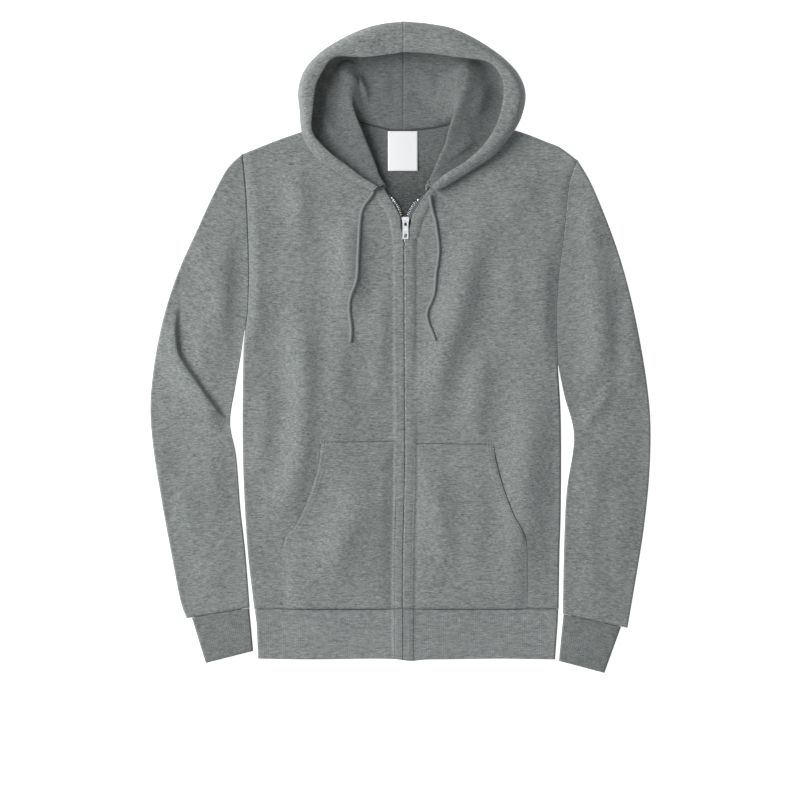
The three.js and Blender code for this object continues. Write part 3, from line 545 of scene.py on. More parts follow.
back_grid = patch(
    [right_side[0], (2.7, waist_y), left_side[0]],
    {neck_shares[0]: right_shoulder, neck_shares[1]: back_neck, 1.0: left_shoulder[::-1]},
    {side_share: right_side, 1.0: right_armhole},
    {side_share: left_side, 1.0: left_armhole},
    turn_shares(430, 130),
    np.concatenate([np.linspace(0, 0.99, 150), 1 - fold_shares(650)[::-1]]),
)
back_distance, back_away = nearest_of(back_grid, back_side_lines)
back_level = crease_height(back_grid, back_creases) * np.clip(back_distance / 30, 0, 1)
back_outer, back_inner = turned(
    back_grid, back_distance, back_away, back_level, -1, fleece_wall, seam_gap
)
back_panel = cloth_shell(
    "BackPanel",
    back_outer,
    back_inner,
    back_outer,
    body_fleece,
    inside=brushed_inside_and_shade,
)
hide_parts("back_panel")
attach(back_panel, "garment")

# Each front is one piece of fleece from the side seam to the zip. It lies on the back panel,
# swells to its folded edges, and is doubled along the zip to a welt that covers the tape.
front_width = 210
lay_height = 4.6
lowest_top = 4.3
swell_reach = 14.0
welt_width = 11.0
welt_height = 6.9
welt_slope = 5.0
chain_half_gap = 0.2
welt_half_gap = 0.6
hem_y = -424.5
zip_line = [
    (-2.0, hem_y), (-2.0, waist_y), (-1.4, -280.2), (-0.1, -223.0), (1.2, -155.0), (0.6, 0.0),
    (0.0, 140.0),
]
right_opening = [
    (-0.8, 144.0), (-1.8, 153.0), (-4.5, 163.0), (-5.5, 177.5), (-12.4, 191.1), (-25.4, 212.2),
]
left_opening = [
    (0.8, 144.0), (3.6, 153.0), (7.4, 163.0), (10.4, 177.5), (17.5, 190.5), (29.2, 209.4),
]
right_neck = [
    (-80.9, 310.1), (-71.3, 292.1), (-60.5, 270.3), (-50.9, 249.9), (-41.4, 232.3), (-25.4, 212.2),
]
left_neck = [
    (79.6, 310.6), (71.9, 293.5), (66.6, 274.4), (53.7, 252.7), (45.5, 233.2), (29.2, 209.4),
]
front_creases = [
    ([(-207, 250), (-206, 140), (-208, -10), (-210, -120)], 4.0, 24),
    ([(-152, 120), (-140, 0), (-138, -90), (-146, -160), (-163, -215), (-190, -285)], 9.2, 20),
    ([(-176, -30), (-192, -110), (-200, -200)], 4.0, 15),
    ([(-150, 250), (-143, 190), (-139, 120)], 4.8, 16),
    ([(-72, 205), (-76, 130), (-70, 20)], 8.6, 20),
    ([(-78, 50), (-88, -20), (-96, -100)], 4.2, 17),
    ([(-24, 120), (-32, 20), (-36, -90)], 3.2, 13),
    ([(-84, 176), (-130, 206), (-180, 232)], 3.6, 22),
    ([(-84, -10), (-96, -100), (-116, -205)], 5.0, 36),
    ([(110, 205), (90, 120), (66, 30), (20, -130)], 10.0, 23),
    ([(122, 186), (158, 206), (196, 212)], 3.4, 22),
    ([(136, 150), (144, 80), (148, 0)], 3.6, 18),
    ([(186, 190), (183, 40), (176, -70)], 5.0, 22),
    ([(184, 20), (174, -80), (164, -200), (158, -375)], 10.5, 29),
    ([(108, 20), (100, -60), (90, -150)], 5.4, 19),
    ([(40, -120), (48, -230), (56, -340)], 2.0, 16),
]
parting_share = 0.86
shoulder_share = 0.58
# Where the fronts differ, -1 stands for the right one and 1 for the left one.
placket_ditch = 0.6
placket_ditch_width = 1.4
armhole_ridges = {-1: 1.5, 1: 0.7}
armhole_ridge_place = 9
armhole_ridge_width = 8
armhole_ditch = 0.7
armhole_ditch_width = 2.2
waist_ridge = 1.2
waist_ridge_width = 7
waist_ditch = 1.6
waist_ditch_width = 1.8
welt_rounding = {-1: 1.9, 1: 1.2}
welt_under_rounding = {-1: 0.1, 1: 0.7}


def shifted(rows, dx, dy=0.0):
    """The rows moved in plan."""
    return [(x + dx, y + dy) for x, y in rows]


def softly_above(level, least):
    """The level, rounded off where it would sink below the least one."""
    soft = 0.25
    return least + soft * np.logaddexp(0, (level - least) / soft)


def placket_offset(y, zip_side):
    """Distance of the placket's stitching from the zip, which wanders a little with Y."""
    if zip_side > 0:
        return 11.3 + 0 * y
    return np.interp(y, [-347, -257, -178, -99, 60, 170], [11.7, 11.4, 9.6, 7.6, 9.3, 10.5])


class FrontTop:
    """Height of a front's outer face over any place."""

    def __init__(self, side, armhole, shoulder, opening, zip_side):
        self.zip_side = zip_side
        meeting = shifted(zip_line[1:], zip_side * welt_half_gap)
        self.folded = [smooth_line(side, outline_shares), smooth_line(shoulder, outline_shares)]
        self.welt = np.concatenate(
            [smooth_line(meeting, outline_shares), smooth_line(opening, outline_shares)]
        )
        self.armhole = smooth_line(armhole, outline_shares)
        self.waist = np.array([(-230.0, waist_y), (230.0, waist_y)])

    def __call__(self, points):
        """Lying height plus swell and creases, raised to the welt beside the zip, with a soft
        ridge and a narrow ditch along each seam."""
        fold_distance = nearest_of(points, self.folded)[0]
        swell = (fold_height - lay_height) * np.exp(-fold_distance / swell_reach)
        armhole_distance = nearest(points, self.armhole)[0]
        waist_distance = nearest(points, self.waist)[0]
        held = eased((armhole_distance + 2) / 20) * eased(waist_distance / 34)
        level = lay_height + swell + crease_height(points, front_creases) * held
        zip_distance = nearest(points, self.welt)[0]
        share = 1 - eased((zip_distance - welt_width) / welt_slope)
        level += share * np.maximum(0, welt_height - level)
        to_stitches = zip_distance - placket_offset(points[..., 1], self.zip_side)
        level -= placket_ditch * bell(to_stitches, placket_ditch_width)
        armhole_ridge = armhole_ridges[self.zip_side]
        level += armhole_ridge * bell(armhole_distance - armhole_ridge_place, armhole_ridge_width)
        level -= armhole_ditch * bell(armhole_distance, armhole_ditch_width)
        level += waist_ridge * bell(waist_distance, waist_ridge_width)
        level -= waist_ditch * bell(waist_distance, waist_ditch_width)
        return softly_above(level, lowest_top)


def rounded_rim(distance, radius):
    """How far a face drops near a raw edge, along a quarter circle of that radius."""
    inside = np.clip(1 - distance / radius, 0, 1)
    return radius * (1 - np.sqrt(1 - inside**2))


def make_front(name, side, armhole, shoulder, opening, neck, zip_side):
    """One front, over a grid from its side seam to the zip and from the waist to the shoulder."""
    top = FrontTop(side, armhole, shoulder, opening, zip_side)
    meeting = shifted(zip_line[1:], zip_side * welt_half_gap)
    waist_middle = ((side[0][0] + meeting[0][0]) / 2, waist_y)
    turn = fold_shares(front_width)
    near_zip = 1 - np.array([6.0, 4.5, 3.2, 2.2, 1.4, 0.8, 0.4, 0.15, 0.0]) / front_width
    across = np.concatenate([turn, np.linspace(turn[-1], near_zip[0], 104)[1:-1], near_zip])
    up = np.concatenate([np.linspace(0, 0.99, 190), 1 - fold_shares(600)[::-1]])
    grid = patch(
        [side[0], waist_middle, meeting[0]],
        {shoulder_share: shoulder, 1.0: neck},
        {side_share: side, 1.0: armhole},
        {parting_share: meeting, 1.0: [meeting[-1], *opening]},
        across,
        up,
    )
    distance, away = nearest_of(grid, top.folded)
    outer, inner = turned(grid, distance, away, top(grid), 1, fleece_wall, seam_gap)
    rim = nearest(grid, top.welt)[0]
    outer[..., 2] -= rounded_rim(rim, welt_rounding[zip_side])
    inner[..., 2] += rounded_rim(rim, welt_under_rounding[zip_side])
    made = cloth_shell(name, outer, inner, outer, body_fleece)
    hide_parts(name.lower().replace("front", "front_"))
    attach(made, "garment")
    return made, top


front_right, right_top = make_front(
    "FrontRight", right_side, right_armhole, right_shoulder, right_opening, right_neck, -1,
)
front_left, left_top = make_front(
    "FrontLeft", left_side, left_armhole, left_shoulder, left_opening, left_neck, 1,
)

# The sleeves are flattened tubes of the same fleece, sewn into the armholes. The right one is
# bent at the elbow, where the forearm lies over the upper arm in one deep fold.
right_sleeve_outer = [
    (-220.3, 262.5), (-241.4, 242.1), (-260.4, 206.7), (-281.7, 160.5), (-304.5, 110.2),
    (-322.0, 61.2), (-334.2, 12.9), (-342.2, -35.4), (-345.8, -84.3), (-341.5, -140.1),
    (-330.6, -208.1), (-317.2, -281.5), (-305.0, -344.1), (-296.5, -369.0),
]
right_sleeve_inner = [
    (-216.9, 23.1), (-222.5, -10.9), (-230.5, -57.1), (-237.0, -103.4), (-228.6, -149.6),
    (-223.2, -217.6), (-216.4, -278.8), (-210.4, -354.5),
]
left_sleeve_outer = [
    (234.6, 254.3), (253.6, 223.0), (275.4, 171.4), (294.4, 117.0), (309.4, 61.2),
    (321.6, 1.4), (330.5, -55.8), (334.7, -108.8), (332.8, -176.8), (325.4, -247.5),
    (315.8, -308.7), (303.3, -382.0),
]
left_sleeve_inner = [
    (208.6, -25.8), (217.3, -66.0), (230.4, -122.0), (220.7, -194.5), (217.1, -266.6),
    (215.2, -362.6),
]
sleeve_creases = [
    ([(-292, 170), (-270, 110), (-262, 60)], 3.0, 16),
    ([(-236, 190), (-246, 110), (-252, 10), (-246, -60)], 5.6, 18),
    ([(-264, 60), (-276, 0), (-262, -50)], 3.4, 12),
    ([(-334, -90), (-330, -150), (-316, -220)], 3.0, 15),
    ([(-266, -100), (-260, -180), (-250, -270)], 2.4, 19),
    ([(-304, -150), (-296, -220), (-284, -290)], 2.2, 17),
    ([(-258, -280), (-262, -320), (-264, -350)], 2.0, 15),
    ([(288, -36), (266, -80), (230, -122)], 3.8, 9),
    ([(250, 225), (258, 150), (264, 70)], 4.8, 17),
    ([(258, 130), (268, 20), (262, -80)], 7.2, 19),
    ([(300, 90), (310, 0), (312, -90)], 4.6, 15),
    ([(262, -120), (252, -210), (246, -300)], 3.0, 19),
    ([(306, -180), (298, -260), (284, -330)], 2.2, 17),
    ([(250, -290), (252, -335), (256, -368)], 1.6, 13),
]
elbow_fold = [
    (-309, 72), (-310.5, 46), (-312, 18), (-308.5, -8), (-300, -24), (-287, -43), (-272, -65),
    (-256, -86), (-241, -103),
]
elbow_rise = 9.0
elbow_slope = 26
elbow_lip = 3.0
elbow_ditch = 1.2
elbow_ditch_width = 5.0
sleeve_puff = 2.2
cuff_ridge = 1.5
cuff_ridge_width = 8
cuff_ditch = 2.0
cuff_ditch_width = 2.2
cuff_seam_right = [(-296.5, -369.0), (-210.4, -354.5)]
cuff_seam_left = [(303.3, -382.0), (215.2, -362.6)]


def tube_rings(grid, top, bottom, thickness):
    """Outer and inner rings of a flattened tube. Each row of places is an upper layer there and
    a lower layer back, and both turn at the row's two ends."""
    first, last = grid[:, :1], grid[:, -1:]
    to_first = np.linalg.norm(grid - first, axis=-1)
    to_last = np.linalg.norm(grid - last, axis=-1)
    near = np.where((to_first < to_last)[..., None], first, last)
    middle = grid[:, grid.shape[1] // 2][:, None]
    away = middle - near
    away = away / np.maximum(np.linalg.norm(away, axis=-1, keepdims=True), 1e-9)
    distance = np.minimum(to_first, to_last)
    upper = turned(grid, distance, away, top, 1, thickness, 0)
    lower = turned(grid, distance, away, bottom, -1, thickness, 0)
    return [np.concatenate([high, low[:, -2:0:-1]], 1) for high, low in zip(upper, lower)]


def overlap_height(points, line, rise):
    """Height of cloth that lies over itself along a line: it drops within a few millimetres to
    the left of the way, into a shallow ditch, and sinks slowly to the right. It fades out
    towards both ends."""
    distance, _, side = nearest(points, line)
    signed = -distance * side
    over = bell(np.maximum(signed, 0), elbow_slope)
    under = bell(np.minimum(signed, 0), elbow_lip)
    ditch = elbow_ditch * bell(signed + elbow_ditch_width, elbow_ditch_width)
    from_start = np.linalg.norm(points - line[0], axis=-1)
    from_end = np.linalg.norm(points - line[-1], axis=-1)
    return (rise * over * under - ditch) * eased(from_start / 60) * eased(from_end / 30)


def make_sleeve(name, node, outer_rows, inner_rows, armhole, cuff_seam, side):
    """One sleeve, over a grid from the armhole to the cuff seam and from the outer edge to the
    inner one. Its place on the cloth runs along and across the sleeve, so the knit turns with
    it."""
    joined = shifted(armhole[::-1], side * 2 * seam_gap)
    outer_rows = [joined[0], *outer_rows[1:]]
    inner_rows = [joined[-1], *inner_rows[1:]]
    last_outer, last_inner = outer_rows[-1], inner_rows[-1]
    middle = ((last_outer[0] + last_inner[0]) / 2, (last_outer[1] + last_inner[1]) / 2)
    cuff_edge = [last_outer, middle, last_inner]
    across = turn_shares(110, 56)
    grid = patch(joined, cuff_edge, outer_rows, inner_rows, across, np.linspace(0, 1, 210))
    lines = [smooth_line(outer_rows, outline_shares), smooth_line(inner_rows, outline_shares)]
    edge_distance = nearest_of(grid, lines)[0]
    top = lay_height + (fold_height - lay_height) * np.exp(-edge_distance / swell_reach)
    seam_distance = nearest(grid, np.array(cuff_seam))[0]
    armhole_distance = nearest(grid, smooth_line(joined, outline_shares))[0]
    creases = crease_height(grid, sleeve_creases) * eased(armhole_distance / 30)
    top += creases * eased(seam_distance / 14)
    top += cuff_ridge * bell(seam_distance, cuff_ridge_width)
    top -= cuff_ditch * bell(seam_distance, cuff_ditch_width)
    top += sleeve_puff * eased(edge_distance / 45) * eased(armhole_distance / 70)
    if side < 0:
        top += overlap_height(grid, smooth_line(elbow_fold, outline_shares), elbow_rise)
    top = softly_above(top, lowest_top)
    outer, inner = tube_rings(grid, top, np.zeros(top.shape), fleece_wall)
    tilt = side * (0.12 - 0.42 * eased((outer[..., 1] + 150) / 250))
    place = outer + np.stack([0 * tilt, tilt * (outer[..., 0] - side * 270), 0 * tilt], -1)
    made = cloth_shell(name, outer, inner, place, body_fleece, closed=True)
    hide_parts(node)
    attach(made, "garment")


make_sleeve(
    "SleeveRight", "sleeve_right", right_sleeve_outer, right_sleeve_inner, right_armhole,
    cuff_seam_right, -1,
)
make_sleeve(
    "SleeveLeft", "sleeve_left", left_sleeve_outer, left_sleeve_inner, left_armhole,
    cuff_seam_left, 1,
)

# The cuffs are short tubes of rib knit, doubled and sewn to the narrower ends of the sleeves.
# Their ribs run along the arm and draw the sleeve in.
rib_wall = 2.3
rib_pitch = 2.9
rib_depth = 0.22
cuff_width = 75.0
cuff_depth = 60
cuff_seam_press = 0.9
cuff_corners = {
    "cuff_right": [(-289.3, -368.15), (-211.0, -354.95), (-270.4, -429.8), (-205.6, -413.4)],
    "cuff_left": [(294.6, -380.45), (216.2, -363.15), (271.9, -443.4), (209.9, -427.0)],
}
cuff_knit = heather("CuffRib", (0.072, 0.080, 0.078, 1), (0.292, 0.311, 0.306, 1), 0.85)


def straight(start, end):
    """Three rows of a straight edge."""
    return [start, ((start[0] + end[0]) / 2, (start[1] + end[1]) / 2), end]


def ribs(place):
    """Depth of the grooves between ribs at a distance across them: half a cosine wave."""
    return -rib_depth * (0.5 - 0.5 * np.cos(2 * math.pi * place / rib_pitch))


for node, (seam_outer, seam_inner, end_outer, end_inner) in cuff_corners.items():
    cuff_across = turn_shares(72, 120)
    cuff_up = np.linspace(0, 1, 26)
    cuff_grid = patch(
        straight(seam_outer, seam_inner),
        straight(end_outer, end_inner),
        straight(seam_outer, end_outer),
        straight(seam_inner, end_inner),
        cuff_across,
        cuff_up,
    )
    cuff_spread = (cuff_across - 0.5)[None] * cuff_width
    cuff_top = fold_height + ribs(cuff_spread) + 0.6 * np.sin(math.pi * cuff_across)[None]
    seam_press = cuff_seam_press * bell(cuff_up[:, None] * cuff_depth, 2.5)
    cuff_top = np.broadcast_to(cuff_top, cuff_grid.shape[:2]) - seam_press
    cuff_top = cuff_top - rounded_rim(cuff_depth * (1 - cuff_up), 1.6)[:, None] * 0.6
    cuff_outer, cuff_inner = tube_rings(cuff_grid, cuff_top, np.zeros(cuff_top.shape), rib_wall)
    cuff_down = np.broadcast_to(cuff_up[:, None] * -cuff_depth, cuff_top.shape)
    cuff_flat = np.stack([np.broadcast_to(cuff_spread, cuff_top.shape), cuff_down], -1)
    cuff_around = np.concatenate([cuff_flat, cuff_flat[:, -2:0:-1]], 1)
    cuff_place = np.concatenate([cuff_around, cuff_outer[..., 2:]], -1)
    cuff = cloth_shell(
        node.title().replace("_", ""), cuff_outer, cuff_inner, cuff_place, cuff_knit, closed=True
    )
    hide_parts(node)
    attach(cuff, "garment")

# The waistband is one doubled strip of rib knit from the zip round the back to the zip again,
# sewn to the lower edge of the body. Its ribs stand upright.
band_lay = 5.4
band_sag = 2.4
band_sag_x = 8
band_sag_width = 15
# Each row is a level in Y with the X of the band's right and left side there.
band_rows = np.array(
    [
        (waist_y - seam_gap, -203.8, 209.3),
        (-376.0, -201.4, 208.4),
        (-400.0, -200.2, 206.6),
        (hem_y, -199.4, 204.8),
    ]
)
band_row_count = 22
band_y = np.concatenate(
    [
        band_rows[0, 0] - np.array([0, 0.4, 1.0, 1.8, 3.0]),
        np.linspace(-361.5, -420.5, band_row_count),
        hem_y + np.array([2.6, 1.4, 0.7, 0.3, 0.0]),
    ]
)
band_right = np.interp(-band_y, -band_rows[:, 0], band_rows[:, 1])
band_left = np.interp(-band_y, -band_rows[:, 0], band_rows[:, 2])
zip_x = zip_line[0][0]


def band_layer(start, end, shares, facing):
    """Outer and inner points of one layer of the waistband, from one X to another in each row.
    Its lower edge waves a little and hangs lower at the zip."""
    x = start[:, None] + (end - start)[:, None] * shares[None]
    points = np.stack([x, np.broadcast_to(band_y[:, None], x.shape)], -1)
    to_right, to_left = x - band_right[:, None], band_left[:, None] - x
    distance = np.minimum(to_right, to_left)
    away = np.stack([np.where(to_right < to_left, 1.0, -1.0), np.zeros(x.shape)], -1)
    grooves = ribs(x) * np.clip(distance / 4, 0, 1)
    if facing > 0:
        swell = (fold_height - band_lay) * np.exp(-distance / swell_reach)
        share = 1 - eased((np.abs(x - zip_x) - welt_width) / welt_slope)
        top = band_lay + swell + share * (welt_height + rib_wall - fleece_wall - band_lay) + grooves
        top -= 0.6 * bell(np.abs(x - zip_x) - welt_width, 1.3)
        top -= rounded_rim(np.abs(x - zip_x) - chain_half_gap, 1.3)
    else:
        top = -grooves * 0.6
    sag = 0.5 * np.sin(x / 27) + band_sag * bell(x - band_sag_x, band_sag_width)
    points[..., 1] -= sag * eased((band_rows[0, 0] - band_y) / 68)[:, None]
    top = top - facing * rounded_rim(band_rows[0, 0] - band_y, 1.2)[:, None]
    top = top - facing * rounded_rim(band_y - hem_y, 1.1)[:, None]
    return turned(points, distance, away, top, facing, rib_wall, 0)


band_step = 0.58
upper_shares = turn_shares(202, int(190 / band_step), False)
band_rim = np.array([1.6, 1.0, 0.5, 0.2, 0.0])
upper_shares = np.concatenate([upper_shares[:-1], 1 - band_rim / 202])
lower_shares = turn_shares(408, int(400 / band_step))[1:-1]
near_zip_right = np.full(len(band_y), zip_x - chain_half_gap)
near_zip_left = np.full(len(band_y), zip_x + chain_half_gap)
band_parts = [
    band_layer(near_zip_right, band_right, 1 - upper_shares, 1),
    band_layer(band_right, band_left, lower_shares, -1),
    band_layer(band_left, near_zip_left, upper_shares, 1),
]
band_parts[0] = [part[:, ::-1] for part in band_parts[0]]
band_outer, band_inner = (np.concatenate([part[k] for part in band_parts], 1) for k in range(2))
band_knit = heather("BandRib", (0.096, 0.105, 0.103, 1), (0.366, 0.389, 0.383, 1), 0.85)
waistband = cloth_shell("Waistband", band_outer, band_inner, band_outer, band_knit)
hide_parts("waistband")
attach(waistband, "garment")

# The pouch pockets are pieces of fleece laid on the fronts and sewn down along the top, the zip
# side and the waistband. Their slanted openings are hemmed and left free.
right_pocket_top = [(-114.1, -129.9), (-60.0, -129.2), (-11.6, -128.7)]
right_pocket_opening = [
    (-164.6, waist_y + seam_gap), (-164.8, -268.5), (-149.1, -243.4), (-135.5, -216.2),
    (-124.2, -185.0), (-116.6, -155.7), (-114.1, -129.9),
]
left_pocket_top = [(14.2, -131.2), (66.0, -132.2), (121.2, -133.1)]
left_pocket_opening = [
    (166.6, waist_y + seam_gap), (165.6, -268.5), (147.2, -225.8), (133.6, -189.0),
    (124.4, -155.0), (121.2, -133.1),
]
pocket_welt = 11.9
pocket_open_until = -271.0
pocket_lift = 0.27
pocket_hem = 7.0
pocket_hem_insets = (5.0, 7.4)
pocket_hem_rise = 0.6
pocket_gapes = {-1: 0.6, 1: 0.1}
pocket_gape_width = 15
pocket_stitch_ditch = 0.6
pocket_stitch_ditch_width = 1.9
pocket_rim_press = 1.4
pocket_rim_press_width = 3.0
pocket_seam_press = 1.75
pocket_seam_press_width = 12
pocket_puff = 1.0
pocket_creases = [
    ([(-44, -176), (-86, -262), (-114, -345)], 6.8, 22),
    ([(-26, -180), (-62, -268), (-90, -348)], 3.0, 32),
    ([(40, -150), (50, -230), (62, -330)], 1.6, 17),
    ([(108, -160), (100, -250), (92, -345)], 2.0, 17),
]


def make_pocket(name, node, top_rows, opening_rows, front_top, zip_side):
    """One pocket, over a grid from its opening to the zip side, raised from the front's face."""
    seam = [(x + zip_side * pocket_welt, y + seam_gap) for x, y in zip_line[1:5]]
    seam[-1] = top_rows[-1] if zip_side < 0 else top_rows[0]
    corner = opening_rows[0]
    bottom = straight(corner, seam[0]) if zip_side < 0 else straight(seam[0], corner)
    left_rows, right_rows = (opening_rows, seam) if zip_side < 0 else (seam, opening_rows)
    rim = np.array([0, 0.25, 0.7, 1.3, 2.2]) / 150
    across = np.concatenate([rim, np.linspace(0.022, 0.978, 80), 1 - rim[::-1]])
    up = np.concatenate([rim * 0.7, np.linspace(0.016, 0.984, 100), 1 - 0.7 * rim[::-1]])
    grid = patch(bottom, top_rows, left_rows, right_rows, across, up)
    opening = smooth_line(opening_rows, np.linspace(0, 1, 160))
    free = opening[:, 1] > pocket_open_until
    tacks = opening[free][[0, -1]]
    sewn_lines = [smooth_line(rows, outline_shares) for rows in (top_rows, seam)]
    sewn_lines.append(opening[~free])

    def levels(points):
        """Lower and upper face. The upper one has a hem along the opening and a puff in the
        middle, and sinks towards the seams. Both lift a little at the opening."""
        to_opening = nearest(points, opening[free])[0]
        to_seam = nearest_of(points, sewn_lines)[0]
        base = front_top(points) + 0.08 + pocket_lift * eased(to_seam / 9)
        sewn = np.clip(to_seam / 18, 0, 1)
        to_tack = np.minimum(*(np.linalg.norm(points - tack, axis=-1) for tack in tacks))
        gape = pocket_gapes[zip_side] * bell(to_opening, pocket_gape_width) * eased(to_tack / 40)
        hem = pocket_hem_rise * (1 - eased((to_opening - pocket_hem - 1) / 3))
        to_stitches = to_opening - sum(pocket_hem_insets) / 2
        hem -= pocket_stitch_ditch * bell(to_stitches, pocket_stitch_ditch_width)
        hem -= pocket_rim_press * bell(to_opening, pocket_rim_press_width)
        puff = pocket_puff * eased(to_opening / 40) * sewn
        puff += crease_height(points, pocket_creases) * sewn
        top = base + fleece_wall + puff + gape + hem * np.clip(to_seam / 6, 0.3, 1)
        top -= pocket_seam_press * bell(to_seam, pocket_seam_press_width)
        rim = np.minimum(to_opening, to_seam)
        lower = base + 0.9 * (np.maximum(puff, 0) + gape) + rounded_rim(rim, 0.05)
        return lower, top - rounded_rim(rim, 0.2)

    lower, upper = levels(grid)
    outer = at_level(grid, upper)
    made = cloth_shell(name, outer, at_level(grid, lower), outer, body_fleece)
    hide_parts(node)
    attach(made, "garment")
    return lambda points: levels(points)[1]


right_pocket_surface = make_pocket(
    "PocketRight", "pocket_right", right_pocket_top, right_pocket_opening, right_top, -1,
)
left_pocket_surface = make_pocket(
    "PocketLeft", "pocket_left", left_pocket_top, left_pocket_opening, left_top, 1,
)

# The hood is two halves of double fleece joined by a seam over its crown and sewn to the neck.
# Each lies folded outwards: from the neck seam over an inner ridge, down through the valley of
# its open inside, round the rim, and back over itself to the hemmed front edge.
hood_wall = 2.6
hood_row_count = 150
hood_span_counts = (8, 26, 24, 16, 16)
# Each row crosses its half outwards, the first at the throat and the last at the crown. Its
# points are on the neck seam, ridge, valley, rim, crest and front edge.
right_hood = [
    [(-25.4, 215.6, 6.1), (-27.2, 220.6, 9.7), (-34.5, 217.5, 11.5),
     (-41.5, 213, 14), (-38.5, 216, 17.2), (-35.5, 218.5, 18)],
    [(-40.1, 232.6, 5.7), (-34.4, 232, 9.6), (-52, 229.5, 10.8),
     (-63, 223, 13.6), (-59, 227, 18), (-55, 230, 18.5)],
    [(-49.6, 250.2, 5.5), (-40.8, 250.2, 11), (-74, 246, 10.5),
     (-92, 239.4, 14.5), (-87, 244.5, 20), (-81, 249.5, 21)],
    [(-59.2, 270.6, 5.2), (-49, 270.6, 13.5), (-95, 268, 10),
     (-117.6, 258.4, 16), (-112, 265, 24), (-106, 269, 25.5)],
    [(-70, 292.4, 4.6), (-58.4, 295, 16), (-112.2, 292.4, 9.5),
     (-135.3, 284.2, 18), (-130.5, 290.5, 29), (-125, 293, 30)],
    [(-78.6, 310, 4.4), (-65.2, 311.4, 17), (-118, 318.2, 6),
     (-141.2, 322.3, 20), (-136, 325, 35), (-124.2, 327.8, 36)],
    [(-68.7, 307.8, 2.2), (-73.4, 337.3, 16.5), (-115, 346.8, 4),
     (-143, 349.5, 20), (-136.7, 351.6, 37), (-120.4, 355, 37)],
    [(-56.4, 305.5, 1.9), (-75.1, 363.1, 14), (-108, 371.3, 3.5),
     (-134, 376.7, 20), (-127.8, 376.7, 38), (-113.6, 371.3, 38)],
    [(-44.2, 302.1, 1.9), (-74, 385, 8), (-90.4, 387.6, 3.2),
     (-109.5, 402.6, 20), (-105.4, 398.5, 38), (-97.2, 393, 38)],
    [(-30.6, 298.7, 1.9), (-44.2, 363.1, 4), (-52.4, 398, 2.8),
     (-59.2, 429.8, 20), (-59.2, 423, 38), (-56.4, 394.4, 37)],
    [(-17, 296, 1.9), (-22.4, 363.1, 2.5), (-27.9, 401.2, 2.8),
     (-29.2, 437.9, 19), (-29.2, 431.1, 36), (-23.8, 397.8, 35)],
    [(-1.62, 295.3, 1.9), (-1.62, 363.1, 2.2), (-1.62, 404, 2.8),
     (-1.62, 441.2, 19), (-1.62, 433.8, 36), (-1.62, 401.2, 34)],
]
left_hood = [
    [(29.4, 213.2, 6.1), (29.8, 219.7, 9.7), (35.5, 217.5, 11.5),
     (42, 212.5, 14), (39.5, 215.7, 17.2), (36.8, 218.5, 18)],
    [(44.2, 233.5, 5.7), (38.8, 235.5, 10.5), (51, 230.5, 10.8),
     (61, 223, 13.6), (57.5, 227.5, 18), (52, 233, 18.5)],
    [(52.4, 253, 5.5), (46, 253.5, 15), (80, 249, 9.5),
     (94.5, 244.3, 14.5), (90, 249, 20), (83.6, 252.8, 21)],
    [(65.3, 274.7, 5.2), (55.8, 274.7, 17), (102, 269, 8.5),
     (120.4, 261.8, 16), (115, 268, 24), (107.4, 274.7, 25.5)],
    [(70.6, 293.8, 4.6), (61.2, 295.1, 20), (120, 294.5, 7.5),
     (146.2, 291.7, 18), (141, 296, 29), (123.1, 298.5, 30)],
    [(77.4, 310.4, 4.4), (66.6, 312.8, 21), (130, 317.5, 5),
     (158.4, 315.5, 20), (152.5, 318.5, 35), (130.6, 319.6, 36)],
    [(66, 306.2, 2.2), (75.7, 337.3, 21), (132, 345.5, 4),
     (162.8, 345.4, 20), (156.5, 346.5, 37), (135, 346.8, 37)],
    [(53.7, 302.4, 1.9), (82.2, 357.7, 19), (127, 367, 3.5),
     (153, 371.3, 20), (147, 370, 38), (131.2, 368.6, 38)],
    [(41.5, 299.4, 1.9), (80.9, 382.9, 13), (105, 389, 3.2),
     (123.6, 399.8, 20), (119, 396.5, 38), (115.7, 386.5, 38)],
    [(27.9, 297.6, 1.9), (48.3, 356.3, 4), (61, 398, 2.8),
     (70, 430, 20), (69, 423.5, 38), (64.6, 395, 37)],
    [(12.9, 296.2, 1.9), (21.1, 358, 2.5), (28, 401, 2.8),
     (32, 438.2, 19), (31.5, 431, 36), (27.9, 400.1, 35)],
    [(-1.58, 295.3, 1.9), (-1.58, 363.1, 2.2), (-1.58, 404, 2.8),
     (-1.58, 441.2, 19), (-1.58, 433.8, 36), (-1.58, 401.2, 34)],
]
hood_hem = 25.0
hood_hem_rise = 0.7
hood_stitch_ditch = 0.8
hood_stitch_ditch_width = 1.4
crown_ditch = 0.7
crown_ditch_width = 2.2
crown_arch = 0.0012
# The hood's inner face is the same fleece in darker colours: painted shade for the shade inside the
# open hood.
shaded_lining_fleece = heather("LiningFleeceShade", (0.070, 0.077, 0.076, 1), (0.238, 0.254, 0.250, 1), 0.9)
hood_creases = [
    ([(-92, 384), (-76, 369), (-60, 360), (-55, 347), (-64, 334)], 5.0, 5.5),
    ([(-124, 372), (-104, 352), (-100, 322)], 5.0, 7),
    ([(-116, 330), (-104, 300), (-84, 276)], 3.4, 8),
    ([(-34, 384), (-26, 356), (-30, 326)], 1.6, 9),
    ([(28, 388), (36, 352), (30, 322)], 1.8, 9),
    ([(66, 372), (52, 346), (40, 318)], 2.0, 8),
    ([(112, 366), (104, 336), (92, 304)], 3.0, 9),
    ([(96, 292), (78, 268), (58, 250)], 2.6, 8),
]


